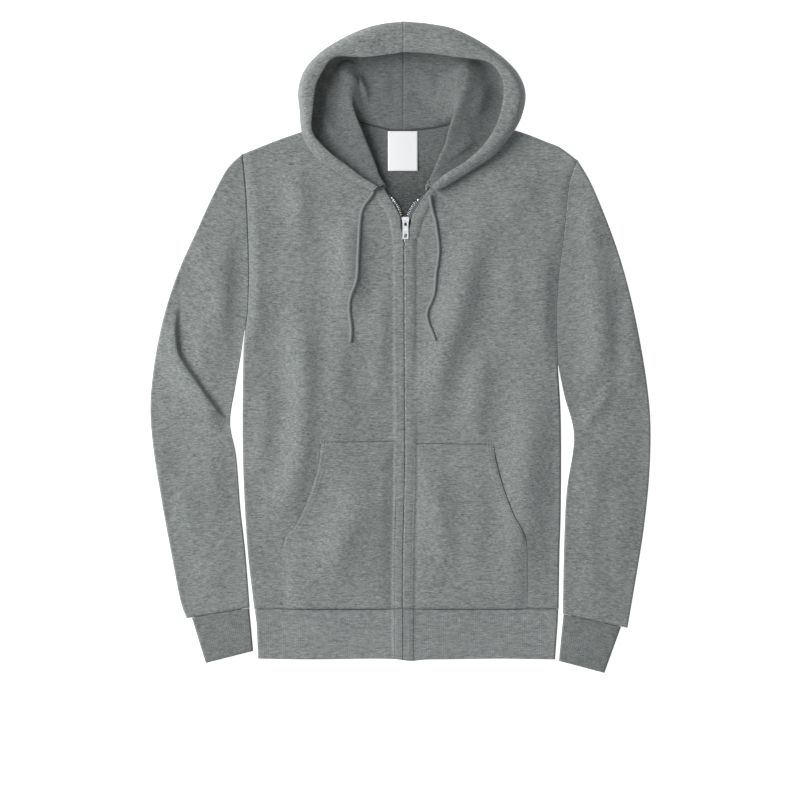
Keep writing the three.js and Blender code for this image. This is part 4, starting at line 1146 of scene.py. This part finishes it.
def even_spline(rows, places):
    """Points of a smooth line through the rows, at places counted in rows. Its spans are cubics
    whose pace follows the square root of the distance between rows, so it doesn't overshoot."""
    before = np.concatenate([2 * rows[:1] - rows[1:2], rows, 2 * rows[-1:] - rows[-2:-1]])
    places = np.asarray(places, float)
    span = np.clip(places.astype(int), 0, len(rows) - 2)
    part = (places - span).reshape(-1, *([1] * (rows.ndim - 1)))
    p0, p1, p2, p3 = (before[span + k] for k in range(4))
    d0, d1, d2 = (
        np.sqrt(np.linalg.norm(b - a, axis=-1, keepdims=True))
        for a, b in ((p0, p1), (p1, p2), (p2, p3))
    )
    leaving = ((p1 - p0) / d0 - (p2 - p0) / (d0 + d1) + (p2 - p1) / d1) * d1
    arriving = ((p2 - p1) / d1 - (p3 - p1) / (d1 + d2) + (p3 - p2) / d2) * d1
    return cubic(p1, p2, leaving, arriving, part)


def grid_normals(grid):
    """Unit normals of a grid of points, from the steps across and along it."""
    normals = np.cross(np.gradient(grid, axis=1), np.gradient(grid, axis=0))
    return normals / np.maximum(np.linalg.norm(normals, axis=-1, keepdims=True), 1e-9)


def run_lengths(grid, axis):
    """Distance run along an axis of a grid of points, from its first point."""
    steps = np.linalg.norm(np.diff(grid, axis=axis), axis=-1)
    return np.concatenate([np.zeros_like(np.take(steps, [0], axis)), np.cumsum(steps, axis)], axis)


def make_hood_half(name, node, rows):
    """One half of the hood, lofted through its rows and thickened to both sides. A hem stands
    proud along the front edge, and a ditch marks its stitching. Gives back the grid, the line of
    the stitching and the normals along it."""
    lofted = even_spline(np.array(rows, float), np.linspace(0, len(rows) - 1, hood_row_count))
    spans = enumerate(hood_span_counts)
    places = [np.linspace(k, k + 1, count, endpoint=False) for k, count in spans]
    places = np.concatenate([*places, [len(hood_span_counts)]])
    grid = even_spline(lofted.swapaxes(0, 1), places).swapaxes(0, 1)
    normals = grid_normals(grid)
    # At the crown both halves' normals stand in the same plane, so their walls meet there.
    normals[-1, :, 0] = 0
    normals[-1] /= np.linalg.norm(normals[-1], axis=-1, keepdims=True)
    run = run_lengths(grid, 1)
    to_edge = run[:, -1:] - run
    along = run_lengths(grid, 0)
    to_crown = along[-1:] - along
    hem = hood_hem_rise * (1 - eased((to_edge - hood_hem) / 3))
    hem -= hood_stitch_ditch * bell(to_edge - hood_hem, hood_stitch_ditch_width)
    seam = -crown_ditch * bell(to_crown, crown_ditch_width) * eased((to_edge - 62) / 8)
    facing = np.sign(normals[hood_row_count // 2, -8, 2])
    half = hood_wall / 2 - rounded_rim(to_edge, hood_wall / 2)
    inside_open = eased((to_edge - 50) / 14) * eased(run / 12)
    wrinkles = crease_height(grid[..., :2], hood_creases) * inside_open
    lift = (hem + seam) * np.clip(to_edge / 4, 0, 1)
    outer = grid + normals * facing * (half + lift)[..., None]
    outer -= normals * facing * wrinkles[..., None]
    inner = grid - normals * facing * (half + 0.5 * lift + wrinkles)[..., None]
    place = grid + np.stack([0 * run, crown_arch * grid[..., 0] ** 2, 0 * run], -1)
    finishes = {"material": body_fleece, "inside": shaded_lining_fleece}
    made = cloth_shell(name, outer, inner, place, **finishes, flat_rims=True)
    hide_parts(node)
    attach(made, "garment")
    each = np.arange(hood_row_count)
    before = (to_edge > hood_hem).sum(1) - 1
    step = to_edge[each, before] - to_edge[each, before + 1]
    share = ((to_edge[each, before] - hood_hem) / step)[:, None]
    hem_line = outer[each, before] * (1 - share) + outer[each, before + 1] * share
    return grid, hem_line, (normals * facing)[each, before]


right_hood_grid, right_hem_line, right_hem_normals = make_hood_half(
    "HoodRight", "hood_right", right_hood
)
left_hood_grid, left_hem_line, left_hem_normals = make_hood_half(
    "HoodLeft", "hood_left", left_hood
)

# The zip tapes are narrow strips of woven polyester under the welts. Their bare edges carry the
# teeth, and show in the open neck.
tape_bottom = 3.3
tape_thickness = 0.8
tape_width = 9.5
right_chain = [
    (0.6, 160.0), (0.4, 168.0), (-3.2, 177.0), (-7.4, 189.9), (-15.6, 201.6), (-23.0, 210.5),
]
left_chain = [
    (1.4, 160.0), (2.2, 168.0), (4.4, 177.0), (10.0, 189.9), (18.4, 200.0), (26.0, 207.5),
]


def bare_edge_rows(chain, zip_side):
    """Rows of a tape's bare edge: up the closed zip, then along its own side of the neck."""
    return [*shifted(zip_line[:-1], zip_side * chain_half_gap), *chain]


def woven_tape():
    """Blue-grey twill: fine slanting ridges along the tape."""
    finish = Finish("WovenTape", Roughness=0.75, Sheen_Weight=0.2, Specular_IOR_Level=0.3)
    place = finish.object_place()
    across, along = finish.parts(place)
    twill = ((across + along * 0.6) * (2 * math.pi / 0.0011)).wave()
    specks = finish.grains(place, (0.0012, 0.003, 0.0012))
    tone = 0.25 + twill * 0.15 + specks * 0.5
    finish.shade("Base Color", finish.mix(tone, (0.065, 0.074, 0.088, 1), (0.20, 0.22, 0.25, 1)))
    finish.relief(twill * 0.5 + 0.5, 0.0002)
    return finish.material


tape_finish = woven_tape()
for name, node, chain, zip_side in (
    ("ZipTapeRight", "zip_tape_right", right_chain, -1),
    ("ZipTapeLeft", "zip_tape_left", left_chain, 1),
):
    bare_edge = smooth_line(bare_edge_rows(chain, zip_side), np.linspace(0, 1, 320))
    tape_across = np.array([0, 0.15, 0.5, 1.0, 2.0, 4.5, 7.0, 8.8, 9.3, tape_width])
    tape_x = bare_edge[:, :1] + zip_side * tape_across[None]
    tape_plan = np.stack([tape_x, np.broadcast_to(bare_edge[:, 1:], tape_x.shape)], -1)
    tape_edge = np.minimum(tape_across, tape_width - tape_across)
    tape_half = tape_thickness / 2 - rounded_rim(tape_edge, tape_thickness / 2) * 0.8
    tape_middle = tape_bottom + tape_thickness / 2
    tape_outer = at_level(tape_plan, tape_middle + tape_half)
    tape_inner = at_level(tape_plan, tape_middle - tape_half)
    tape = cloth_shell(name, tape_outer, tape_inner, tape_outer, tape_finish)
    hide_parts(node)
    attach(tape, "garment")


# The slider and its pull tab are cast and stamped metal, polished bright. Both are the solids of
# the frame, with a finish of their own; the slider's carries painted shade below the pull tab.
def polished_metal(name, recess=None):
    """Bright nickel-like metal, faintly brushed and a little worn. Below a recess in Y it is
    near black: painted shade for the dark gap between the slider and its pull tab."""
    finish = Finish(name, Metallic=1.0)
    place = finish.object_place()
    brushed = finish.grains(place, (0.0004, 0.004, 0.0004), 3.0)
    worn = finish.grains(place, (0.004, 0.004, 0.004), 0.0)
    bright = finish.mix(worn, (0.80, 0.81, 0.82, 1), (0.95, 0.95, 0.95, 1))
    if recess is not None:
        along = finish.parts(place)[1]
        # Painted shade: near black below the recess, for the shadow of the pull tab on the slider.
        tab_gap_shade = finish.node(
            "ShaderNodeMapRange",
            sockets={0: along, 1: recess - 0.0006, 2: recess + 0.0006, 3: 1.0, 4: 0.0},
        )
        bright = finish.mix(tab_gap_shade, bright, (0.06, 0.06, 0.06, 1))
    finish.shade("Base Color", bright)
    finish.shade("Roughness", 0.14 + worn * 0.16 + brushed * 0.08)
    finish.relief(worn + brushed * 0.02, 0.0003)
    return finish.material


# Level in Y below which the slider's metal carries painted shade.
tab_shadow_y = 0.1692
metal = polished_metal("PolishedMetal")
slider_metal_shaded = polished_metal("SliderMetalShaded", tab_shadow_y)
slider_hides = (163.0, 178.5)
for node, finish in (("zip_slider", slider_metal_shaded), ("zip_pull", metal)):
    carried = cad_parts[node]
    carried.data.materials.clear()
    carried.data.materials.append(finish)

# The neck label is a small tab of white woven satin, sewn into the back neck seam and left bare.
label_left = -22.5
label_right = 18.0
label_bottom = 239.4
label_top = 293.6
label_wall = 0.5
label_lift = 1.2
label_wave = 0.35


def white_satin():
    """Smooth white weave with a faint sheen and fine crosswise threads."""
    finish = Finish("WhiteSatin", Roughness=0.45, Sheen_Weight=0.1)
    place = finish.object_place()
    threads = finish.grains(place, (0.004, 0.0004, 0.0004))
    finish.shade("Base Color", finish.mix(threads, (0.80, 0.81, 0.82, 1), (0.90, 0.905, 0.91, 1)))
    finish.relief(threads, 0.00006)
    return finish.material


label_u = np.linspace(0, 1, 26)
label_v = np.linspace(0, 1, 34)
label_x, label_y = np.meshgrid(
    label_left + (label_right - label_left) * label_u,
    label_bottom + (label_top - label_bottom) * label_v,
)
label_curl = label_lift * (1 - label_v[:, None]) ** 2
label_curl = label_curl + label_wave * np.sin(3.4 * label_u[None] + 0.6)
label_level = fleece_wall + seam_gap + 0.4 + label_curl
label_rim = np.minimum(
    np.minimum(label_x - label_left, label_right - label_x),
    np.minimum(label_y - label_bottom, label_top - label_y),
)
label_thin = rounded_rim(label_rim, 0.2)
label_outer = np.stack([label_x, label_y, label_level + label_wall - label_thin], -1)
label_inner = np.stack([label_x, label_y, label_level + label_thin], -1)
neck_label = cloth_shell("NeckLabel", label_outer, label_inner, label_outer, white_satin())
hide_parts("neck_label")
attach(neck_label, "garment")

# The drawcords are flat-braided cotton cords that leave the hood's hem on both sides of the neck
# and lie on the fronts to their cut ends.
cord_diameter = 4.6
cord_press = 1.1
cord_steps = 260
settling_steps = 40
right_cord = [
    (-40.8, 213.0, 8.0), (-47.5, 202.6, 7.7), (-54.3, 193.8, 7.9), (-58.8, 182.2, 8.1),
    (-61.1, 164.6, 8.3), (-62.2, 144.2, 8.4), (-63.4, 121.7, 8.6), (-64.5, 96.6, 8.7),
    (-67.9, 83.0, 9.0), (-72.4, 72.1, 9.3), (-75.1, 60.2, 9.6), (-75.1, 47.6, 9.7),
    (-73.4, 34.0, 9.7), (-72.4, 20.4, 9.6), (-74.1, 5.4, 9.2),
]
left_cord = [
    (34.6, 207.4, 9.7), (35.9, 195.8, 9.5), (38.4, 185.0, 8.8), (41.6, 173.0, 7.9),
    (43.8, 160.5, 7.6), (46.1, 144.2, 7.6), (46.8, 128.4, 7.7), (44.9, 112.9, 8.2),
    (42.7, 99.3, 8.9), (41.6, 83.0, 9.3), (40.0, 71.1, 9.4), (35.8, 60.2, 9.2),
    (31.9, 51.7, 8.9), (30.6, 42.2, 8.7), (32.9, 31.3, 8.9), (37.6, 20.4, 9.3),
    (42.2, 8.2, 9.5),
]


def braided_cord():
    """Grey cotton braid, lighter than the fleece, with dark gaps between its strands."""
    finish = Finish("BraidedCotton", Roughness=0.9, Sheen_Weight=0.25, Specular_IOR_Level=0.2)
    place = finish.cloth_place()
    around, along = finish.parts(place)
    one_way = ((along + around * 0.8) * (2 * math.pi / 0.0030)).wave()
    other_way = ((along - around * 0.8) * (2 * math.pi / 0.0030)).wave()
    braid = one_way * other_way
    specks = finish.grains(place, (0.002, 0.0012, 0.002))
    tone = 0.5 + braid * 0.2 + (specks - 0.5) * 0.9
    finish.shade("Base Color", finish.mix(tone, (0.12, 0.13, 0.13, 1), (0.34, 0.36, 0.36, 1)))
    finish.relief(braid * 0.5 + 0.5, 0.0004)
    return finish.material


def tube_along(path, radius, around_count):
    """Rings of a tube carried along a path: in each ring the radius times the cosine goes to the
    side and times the sine upwards, both square to the path."""
    heading = np.gradient(path, axis=0)
    heading /= np.linalg.norm(heading, axis=1)[:, None]
    sideways = np.cross(heading, [0.0, 0.0, 1.0])
    sideways /= np.linalg.norm(sideways, axis=1)[:, None]
    upwards = np.cross(sideways, heading)
    angle = np.linspace(0, 2 * math.pi, around_count, endpoint=False)[None, :, None]
    reach = np.asarray(radius).reshape(-1, 1, 1)
    spokes = np.cos(angle) * sideways[:, None] + np.sin(angle) * upwards[:, None]
    return path[:, None] + reach * spokes


def cap_faces(start, count):
    """Four-sided faces that close a ring with an even number of points, in strips across it."""
    k = np.arange(count // 2 - 1)
    return np.stack([k, k + 1, count - 2 - k, count - 1 - k], -1) + start


def tube_faces(rows, columns):
    """Faces of a tube with closed ends."""
    first = cap_faces(0, columns)[:, ::-1]
    last = cap_faces((rows - 1) * columns, columns)
    return np.concatenate([grid_faces(rows, columns, True), first, last])


def capped_tube(name, path, radius, around_count, material):
    """Tube with both ends closed over its last rings. Its cloth runs round and along it."""
    rings = tube_along(path, radius, around_count)
    reach = run_lengths(path[None], 1)[0]
    angle = np.linspace(0, 2 * math.pi, around_count, endpoint=False)
    place = np.stack(
        [
            np.broadcast_to(angle * cord_diameter / 2, rings.shape[:2]),
            np.broadcast_to(reach[:, None], rings.shape[:2]),
            np.zeros(rings.shape[:2]),
        ],
        -1,
    )
    faces = tube_faces(*rings.shape[:2])
    return solid_mesh(name, rings.reshape(-1, 3), faces, place.reshape(-1, 3), material)


cord_finish = braided_cord()
for name, node, rows, length, front_top in (
    ("DrawcordRight", "drawcord_right", right_cord, 0.215, right_top),
    ("DrawcordLeft", "drawcord_left", left_cord, 0.205, left_top),
):
    cord_path = smooth_line(rows, np.linspace(0, 1, cord_steps))
    resting = front_top(cord_path[:, :2]) + cord_diameter / 2 - cord_press
    on_front = eased(np.arange(cord_steps) / settling_steps)
    cord_path[:, 2] += on_front * (resting - cord_path[:, 2])
    cord_reach = run_lengths(cord_path[None], 1)[0]
    to_end = np.minimum(cord_reach, cord_reach[-1] - cord_reach)
    cord_radius = cord_diameter / 2 - rounded_rim(to_end, cord_diameter / 2) * 0.98
    cord = capped_tube(name, cord_path, cord_radius, 16, cord_finish)
    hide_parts(node)
    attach(cord, "garment")
    (cord_path[::4] * 0.001).tolist() + [(cord_path[-1] * 0.001).tolist()]

# The seams are sewn on the inside. Their allowances are narrow rolls of the brushed inside,
# whose tone carries painted shade, that lie under the joints between the pieces, and close them.
# The near-black rolls along the back neck, the pockets' edges and mouths and at the buttonholes
# are painted shadow.
def seam_roll(name, path, radius, finish=brushed_inside_and_shade):
    """Roll of fleece along a path, with closed ends."""
    roll = capped_tube(name, path, np.full(len(path), radius), 8, finish)
    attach(roll, "garment")


seam_shares = np.linspace(0, 1, 120)
front_neck_level = 3.5
back_neck_level = 2.15
roll_radius = 0.9
# The back neck seam's roll is near-black fleece: painted shadow for the dark line along that seam.
neck_seam_shade_fleece = heather("NeckSeamShade", (0.02, 0.022, 0.022, 1), (0.10, 0.107, 0.105, 1))
back_neck_line = smooth_line(back_neck, seam_shares) + [0, 0.8]
seam_roll("NeckSeamBack", at_level(back_neck_line, back_neck_level), 1.5, neck_seam_shade_fleece)
for name, rows in (("NeckSeamRight", right_neck), ("NeckSeamLeft", left_neck)):
    seam_roll(name, at_level(smooth_line(rows, seam_shares), front_neck_level), 1.2)
crown = (right_hood_grid[-1] + left_hood_grid[-1]) / 2
rim_place = sum(hood_span_counts[:3])
seam_roll("HoodMiddleSeam", crown[: rim_place + 1], 0.95)
seam_roll("HoodMiddleHem", crown[rim_place:-1], 0.7, body_fleece)
for name, rows in (
    ("ArmholeSeamRight", shifted(right_armhole, -seam_gap)),
    ("ArmholeSeamLeft", shifted(left_armhole, seam_gap)),
):
    seam_roll(name, at_level(smooth_line(rows, seam_shares), 3.1), roll_radius)
# Painted shadow: thin rolls of dark fleece mark the shade along the pockets' top edges and mouths
# and in the buttonholes.
shaded_fleece = heather("ShadedFleece", (0.04, 0.044, 0.043, 1), (0.16, 0.171, 0.168, 1))
for name, rows, top in (
    ("PocketEdgeRight", right_pocket_top, right_top),
    ("PocketEdgeLeft", left_pocket_top, left_top),
):
    pocket_edge = smooth_line(rows, np.linspace(0.01, 0.99, 120)) + [0, 0.5]
    seam_roll(name, at_level(pocket_edge, top(pocket_edge) + 0.15), 0.33, shaded_fleece)
for name, rows, top, zip_side in (
    ("PocketMouthRight", right_pocket_opening, right_top, -1),
    ("PocketMouthLeft", left_pocket_opening, left_top, 1),
):
    mouth = smooth_line(rows, np.linspace(0, 0.99, 300))
    mouth = mouth[mouth[:, 1] > pocket_open_until] + [zip_side * 0.4, 0]
    seam_roll(name, at_level(mouth, top(mouth) + 0.2), 0.3, shaded_fleece)
for name, ends in (
    ("ButtonholeRight", [(-29.6, 221.0, 10.4), (-27.0, 215.5, 9.4)]),
    ("ButtonholeLeft", [(33.4, 225.5, 11.6), (34.4, 218.0, 11.4)]),
):
    seam_roll(name, smooth_line(ends, np.linspace(0, 1, 8)), roll_radius, shaded_fleece)
waist_ends = {
    "WaistSeamRight": (right_side[0][0] + 3, zip_x - 1),
    "WaistSeamLeft": (left_side[0][0] - 3, zip_x + 1),
}
for name, (start, end) in waist_ends.items():
    waist_x = np.linspace(start, end, 60)
    waist_path = np.stack([waist_x, np.full(60, waist_y - seam_gap / 2)], -1)
    seam_roll(name, at_level(waist_path, 3.2), roll_radius)
for name, seam in (("CuffSeamRight", cuff_seam_right), ("CuffSeamLeft", cuff_seam_left)):
    inset = np.array([0.12, 0.88])
    ends = np.array(seam[0]) + inset[:, None] * (np.array(seam[1]) - np.array(seam[0]))
    seam_roll(name, at_level(np.linspace(ends[0], ends[1], 40), 3.3), roll_radius)

# The topstitching is grey thread in even lockstitches: along the placket, round the pockets and
# along the hood's hem. Each stitch is a short thick thread whose ends dip into the cloth.
stitch_length = 2.5
stitch_pitch = 3.3
thread_radius = 0.36
heading_step = 0.6
pocket_side_inset = 2.4
pocket_top_inset = 2.6
tack_half_width = 1.4
tack_outer = 0.5
tack_inner = 8


def stitch_form():
    """One stitch along X: rings round a shallow arch, thinner at both ends."""
    along = np.linspace(-1, 1, 5)
    arch = np.stack([along * stitch_length / 2, 0 * along, 0.12 - 0.42 * along**2], -1)
    radius = thread_radius * np.sqrt(1 - 0.75 * along**2)
    rings = tube_along(arch, radius, 6)
    return rings.reshape(-1, 3), tube_faces(5, 6)


def copies(name, form, centres, heading, upwards, material):
    """One mesh of many copies of a form, whose X goes along each heading and whose Z is the part
    of each upward direction that is square to it."""
    points, faces = form
    heading = heading / np.linalg.norm(heading, axis=1, keepdims=True)
    sideways = np.cross(upwards, heading)
    sideways /= np.linalg.norm(sideways, axis=1, keepdims=True)
    upwards = np.cross(heading, sideways)
    turn = np.stack([heading, sideways, upwards], 1)
    placed = centres[:, None] + np.einsum("pk,nkc->npc", points, turn)
    numbers = faces[None] + (np.arange(len(centres)) * len(points))[:, None, None]
    placed = placed.reshape(-1, 3)
    return solid_mesh(name, placed, numbers.reshape(-1, 4), placed, material)


def cotton_thread():
    """Grey sewing thread with a fine twist."""
    finish = Finish("CottonThread", Roughness=0.7, Sheen_Weight=0.15)
    place = finish.object_place()
    twist = finish.grains(place, (0.0006, 0.0004, 0.0006))
    finish.shade("Base Color", finish.mix(twist, (0.19, 0.20, 0.20, 1), (0.36, 0.38, 0.38, 1)))
    finish.relief(twist, 0.0001)
    return finish.material


class StitchRows:
    """Rows of stitches gathered for one piece."""

    def __init__(self):
        self.centres, self.headings, self.upwards = [], [], []

    def along(self, line, upwards=None):
        """Adds stitches at even steps along a line of points in space."""
        reach = run_lengths(line[None], 1)[0]
        places = np.arange(stitch_pitch / 2, reach[-1], stitch_pitch)
        self.centres.append(along_line(line, reach, places))
        ahead = along_line(line, reach, places + heading_step)
        behind = along_line(line, reach, places - heading_step)
        self.headings.append(ahead - behind)
        standing = np.broadcast_to([0.0, 0.0, 1.0], line.shape) if upwards is None else upwards
        self.upwards.append(along_line(standing, reach, places))

    def sewn(self, name):
        """The rows as one piece."""
        made = copies(
            name,
            stitch_form(),
            np.concatenate(self.centres),
            np.concatenate(self.headings),
            np.concatenate(self.upwards),
            thread,
        )
        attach(made, "garment")


thread = cotton_thread()


def beside(line, offset):
    """Line in plan moved sideways by an offset, to the left of its way."""
    heading = np.gradient(line, axis=0)
    heading /= np.linalg.norm(heading, axis=1, keepdims=True)
    return line + np.stack([-heading[:, 1], heading[:, 0]], -1) * np.reshape(offset, (-1, 1))


placket = StitchRows()
for top, opening, zip_side in ((right_top, right_opening, -1), (left_top, left_opening, 1)):
    edge_rows = [*shifted(zip_line[1:], zip_side * chain_half_gap), *opening]
    welt_edge = smooth_line(edge_rows, np.linspace(0.002, 0.985, 500))
    stitch_line = beside(welt_edge, -zip_side * placket_offset(welt_edge[:, 1], zip_side))
    placket.along(at_level(stitch_line, top(stitch_line)))
    band_stitch_y = np.linspace(waist_y - 3, hem_y + 3, 60)
    band_stitch_x = zip_x + zip_side * np.full(60, 11.4)
    band_stitch = np.stack([band_stitch_x, band_stitch_y], -1)
    placket.along(at_level(band_stitch, welt_height + rib_wall - fleece_wall - 0.6))
placket.sewn("PlacketStitches")

pocket_stitches = StitchRows()
for top, zip_side, top_rows, opening_rows in (
    (right_pocket_surface, -1, right_pocket_top, right_pocket_opening),
    (left_pocket_surface, 1, left_pocket_top, left_pocket_opening),
):
    opening_line = smooth_line(opening_rows, np.linspace(0.0, 1, 300))
    free = opening_line[:, 1] > pocket_open_until
    for inset in pocket_hem_insets:
        row = beside(opening_line, zip_side * inset)[free]
        pocket_stitches.along(at_level(row, top(row)))
    row = beside(opening_line, zip_side * pocket_side_inset)[~free]
    pocket_stitches.along(at_level(row, top(row)))
    row = beside(smooth_line(top_rows, np.linspace(0.02, 0.98, 200)), -pocket_top_inset)
    pocket_stitches.along(at_level(row, top(row)))
    for tack in opening_line[free][[0, -1]]:
        for step in np.linspace(-tack_half_width, tack_half_width, 5):
            bar_start = [tack[0] + zip_side * tack_outer, tack[1] - step]
            bar_end = [tack[0] - zip_side * tack_inner, tack[1] - step]
            bar = np.linspace(bar_start, bar_end, 12)
            pocket_stitches.along(at_level(bar, top(bar) + 0.1))
pocket_stitches.sewn("PocketStitches")

hood_stitches = StitchRows()
hood_stitches.along(right_hem_line[4:-1], right_hem_normals[4:-1])
hood_stitches.along(left_hem_line[4:-1], left_hem_normals[4:-1])
hood_stitches.sewn("HoodStitches")

# The teeth are small bright metal blocks clamped on the tapes' edges. They mesh below the slider
# down to the hem, and stand free above it up to the stop at the end of each row.
tooth_pitch = 2.5
tooth_across = 1.9
tooth_along = 0.62
tooth_height = 1.05
first_tooth = 3.0
toothless_end = 12.5
stop_shares = [0.81, 0.83]
stop_length = 4.2
stop_narrowing = 0.6
tooth_level = tape_bottom + tape_thickness / 2 + 0.2


def tooth_form(length=1.0):
    """Rounded block along X: rings whose corners are squared by a fourth-power curve."""
    x = np.array([-1.0, -0.93, -0.5, 0.5, 0.93, 1.0])
    swell = (1 - 0.75 * x**4) ** 0.25
    angle = np.linspace(0, 2 * math.pi, 8, endpoint=False) + math.pi / 8
    rings = np.stack(
        [
            np.broadcast_to((x * tooth_across)[:, None], (6, 8)),
            swell[:, None] * tooth_along * length * np.cos(angle)[None] * 1.05,
            swell[:, None] * tooth_height * np.sin(angle)[None] * 1.05,
        ],
        -1,
    )
    return rings.reshape(-1, 3), tube_faces(6, 8)


def away_from_zip(ahead, zip_side):
    """Unit directions square to the way up a tape, away from the other tape."""
    outwards = np.stack([ahead[:, 1], -ahead[:, 0]], -1) * zip_side
    return outwards / np.linalg.norm(outwards, axis=1, keepdims=True)


def clamped(name, form, parts):
    """One mesh of metal blocks clamped on both tapes, from each tape's centres and directions."""
    centres, outwards = (np.concatenate([part[k] for part in parts]) for k in range(2))
    upwards = np.broadcast_to([0.0, 0.0, 1.0], centres.shape)
    blocks = copies(name, form, centres, outwards, upwards, metal)
    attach(blocks, "garment")


tooth_places = []
stop_places = []
for chain, zip_side in ((right_chain, -1), (left_chain, 1)):
    chain_line = smooth_line(bare_edge_rows(chain, zip_side), np.linspace(0, 1, 900))
    reach = run_lengths(chain_line[None], 1)[0]
    start = first_tooth + (zip_side > 0) * tooth_pitch / 2
    places = np.arange(start, reach[-1] - toothless_end, tooth_pitch)
    centres = along_line(chain_line, reach, places)
    outwards = away_from_zip(along_line(chain_line, reach, places + 0.5) - centres, zip_side)
    shown = (centres[:, 1] <= slider_hides[0]) | (centres[:, 1] >= slider_hides[1])
    centres = (centres + 0.2 * outwards)[shown]
    tooth_places.append((at_level(centres, tooth_level), at_level(outwards[shown], 0.0)))
    stop_line = smooth_line(chain, stop_shares)
    stop_place = at_level(stop_line[:1] + [[zip_side * 0.4, 0]], tooth_level + 0.1)
    outwards = away_from_zip(np.diff(stop_line, axis=0), zip_side)
    stop_places.append((stop_place, at_level(outwards, 0.0)))
clamped("ZipTeeth", tooth_form(), tooth_places)
stop_points, stop_faces = tooth_form(stop_length)
clamped("ZipStops", (stop_points * [stop_narrowing, 1, 1], stop_faces), stop_places)
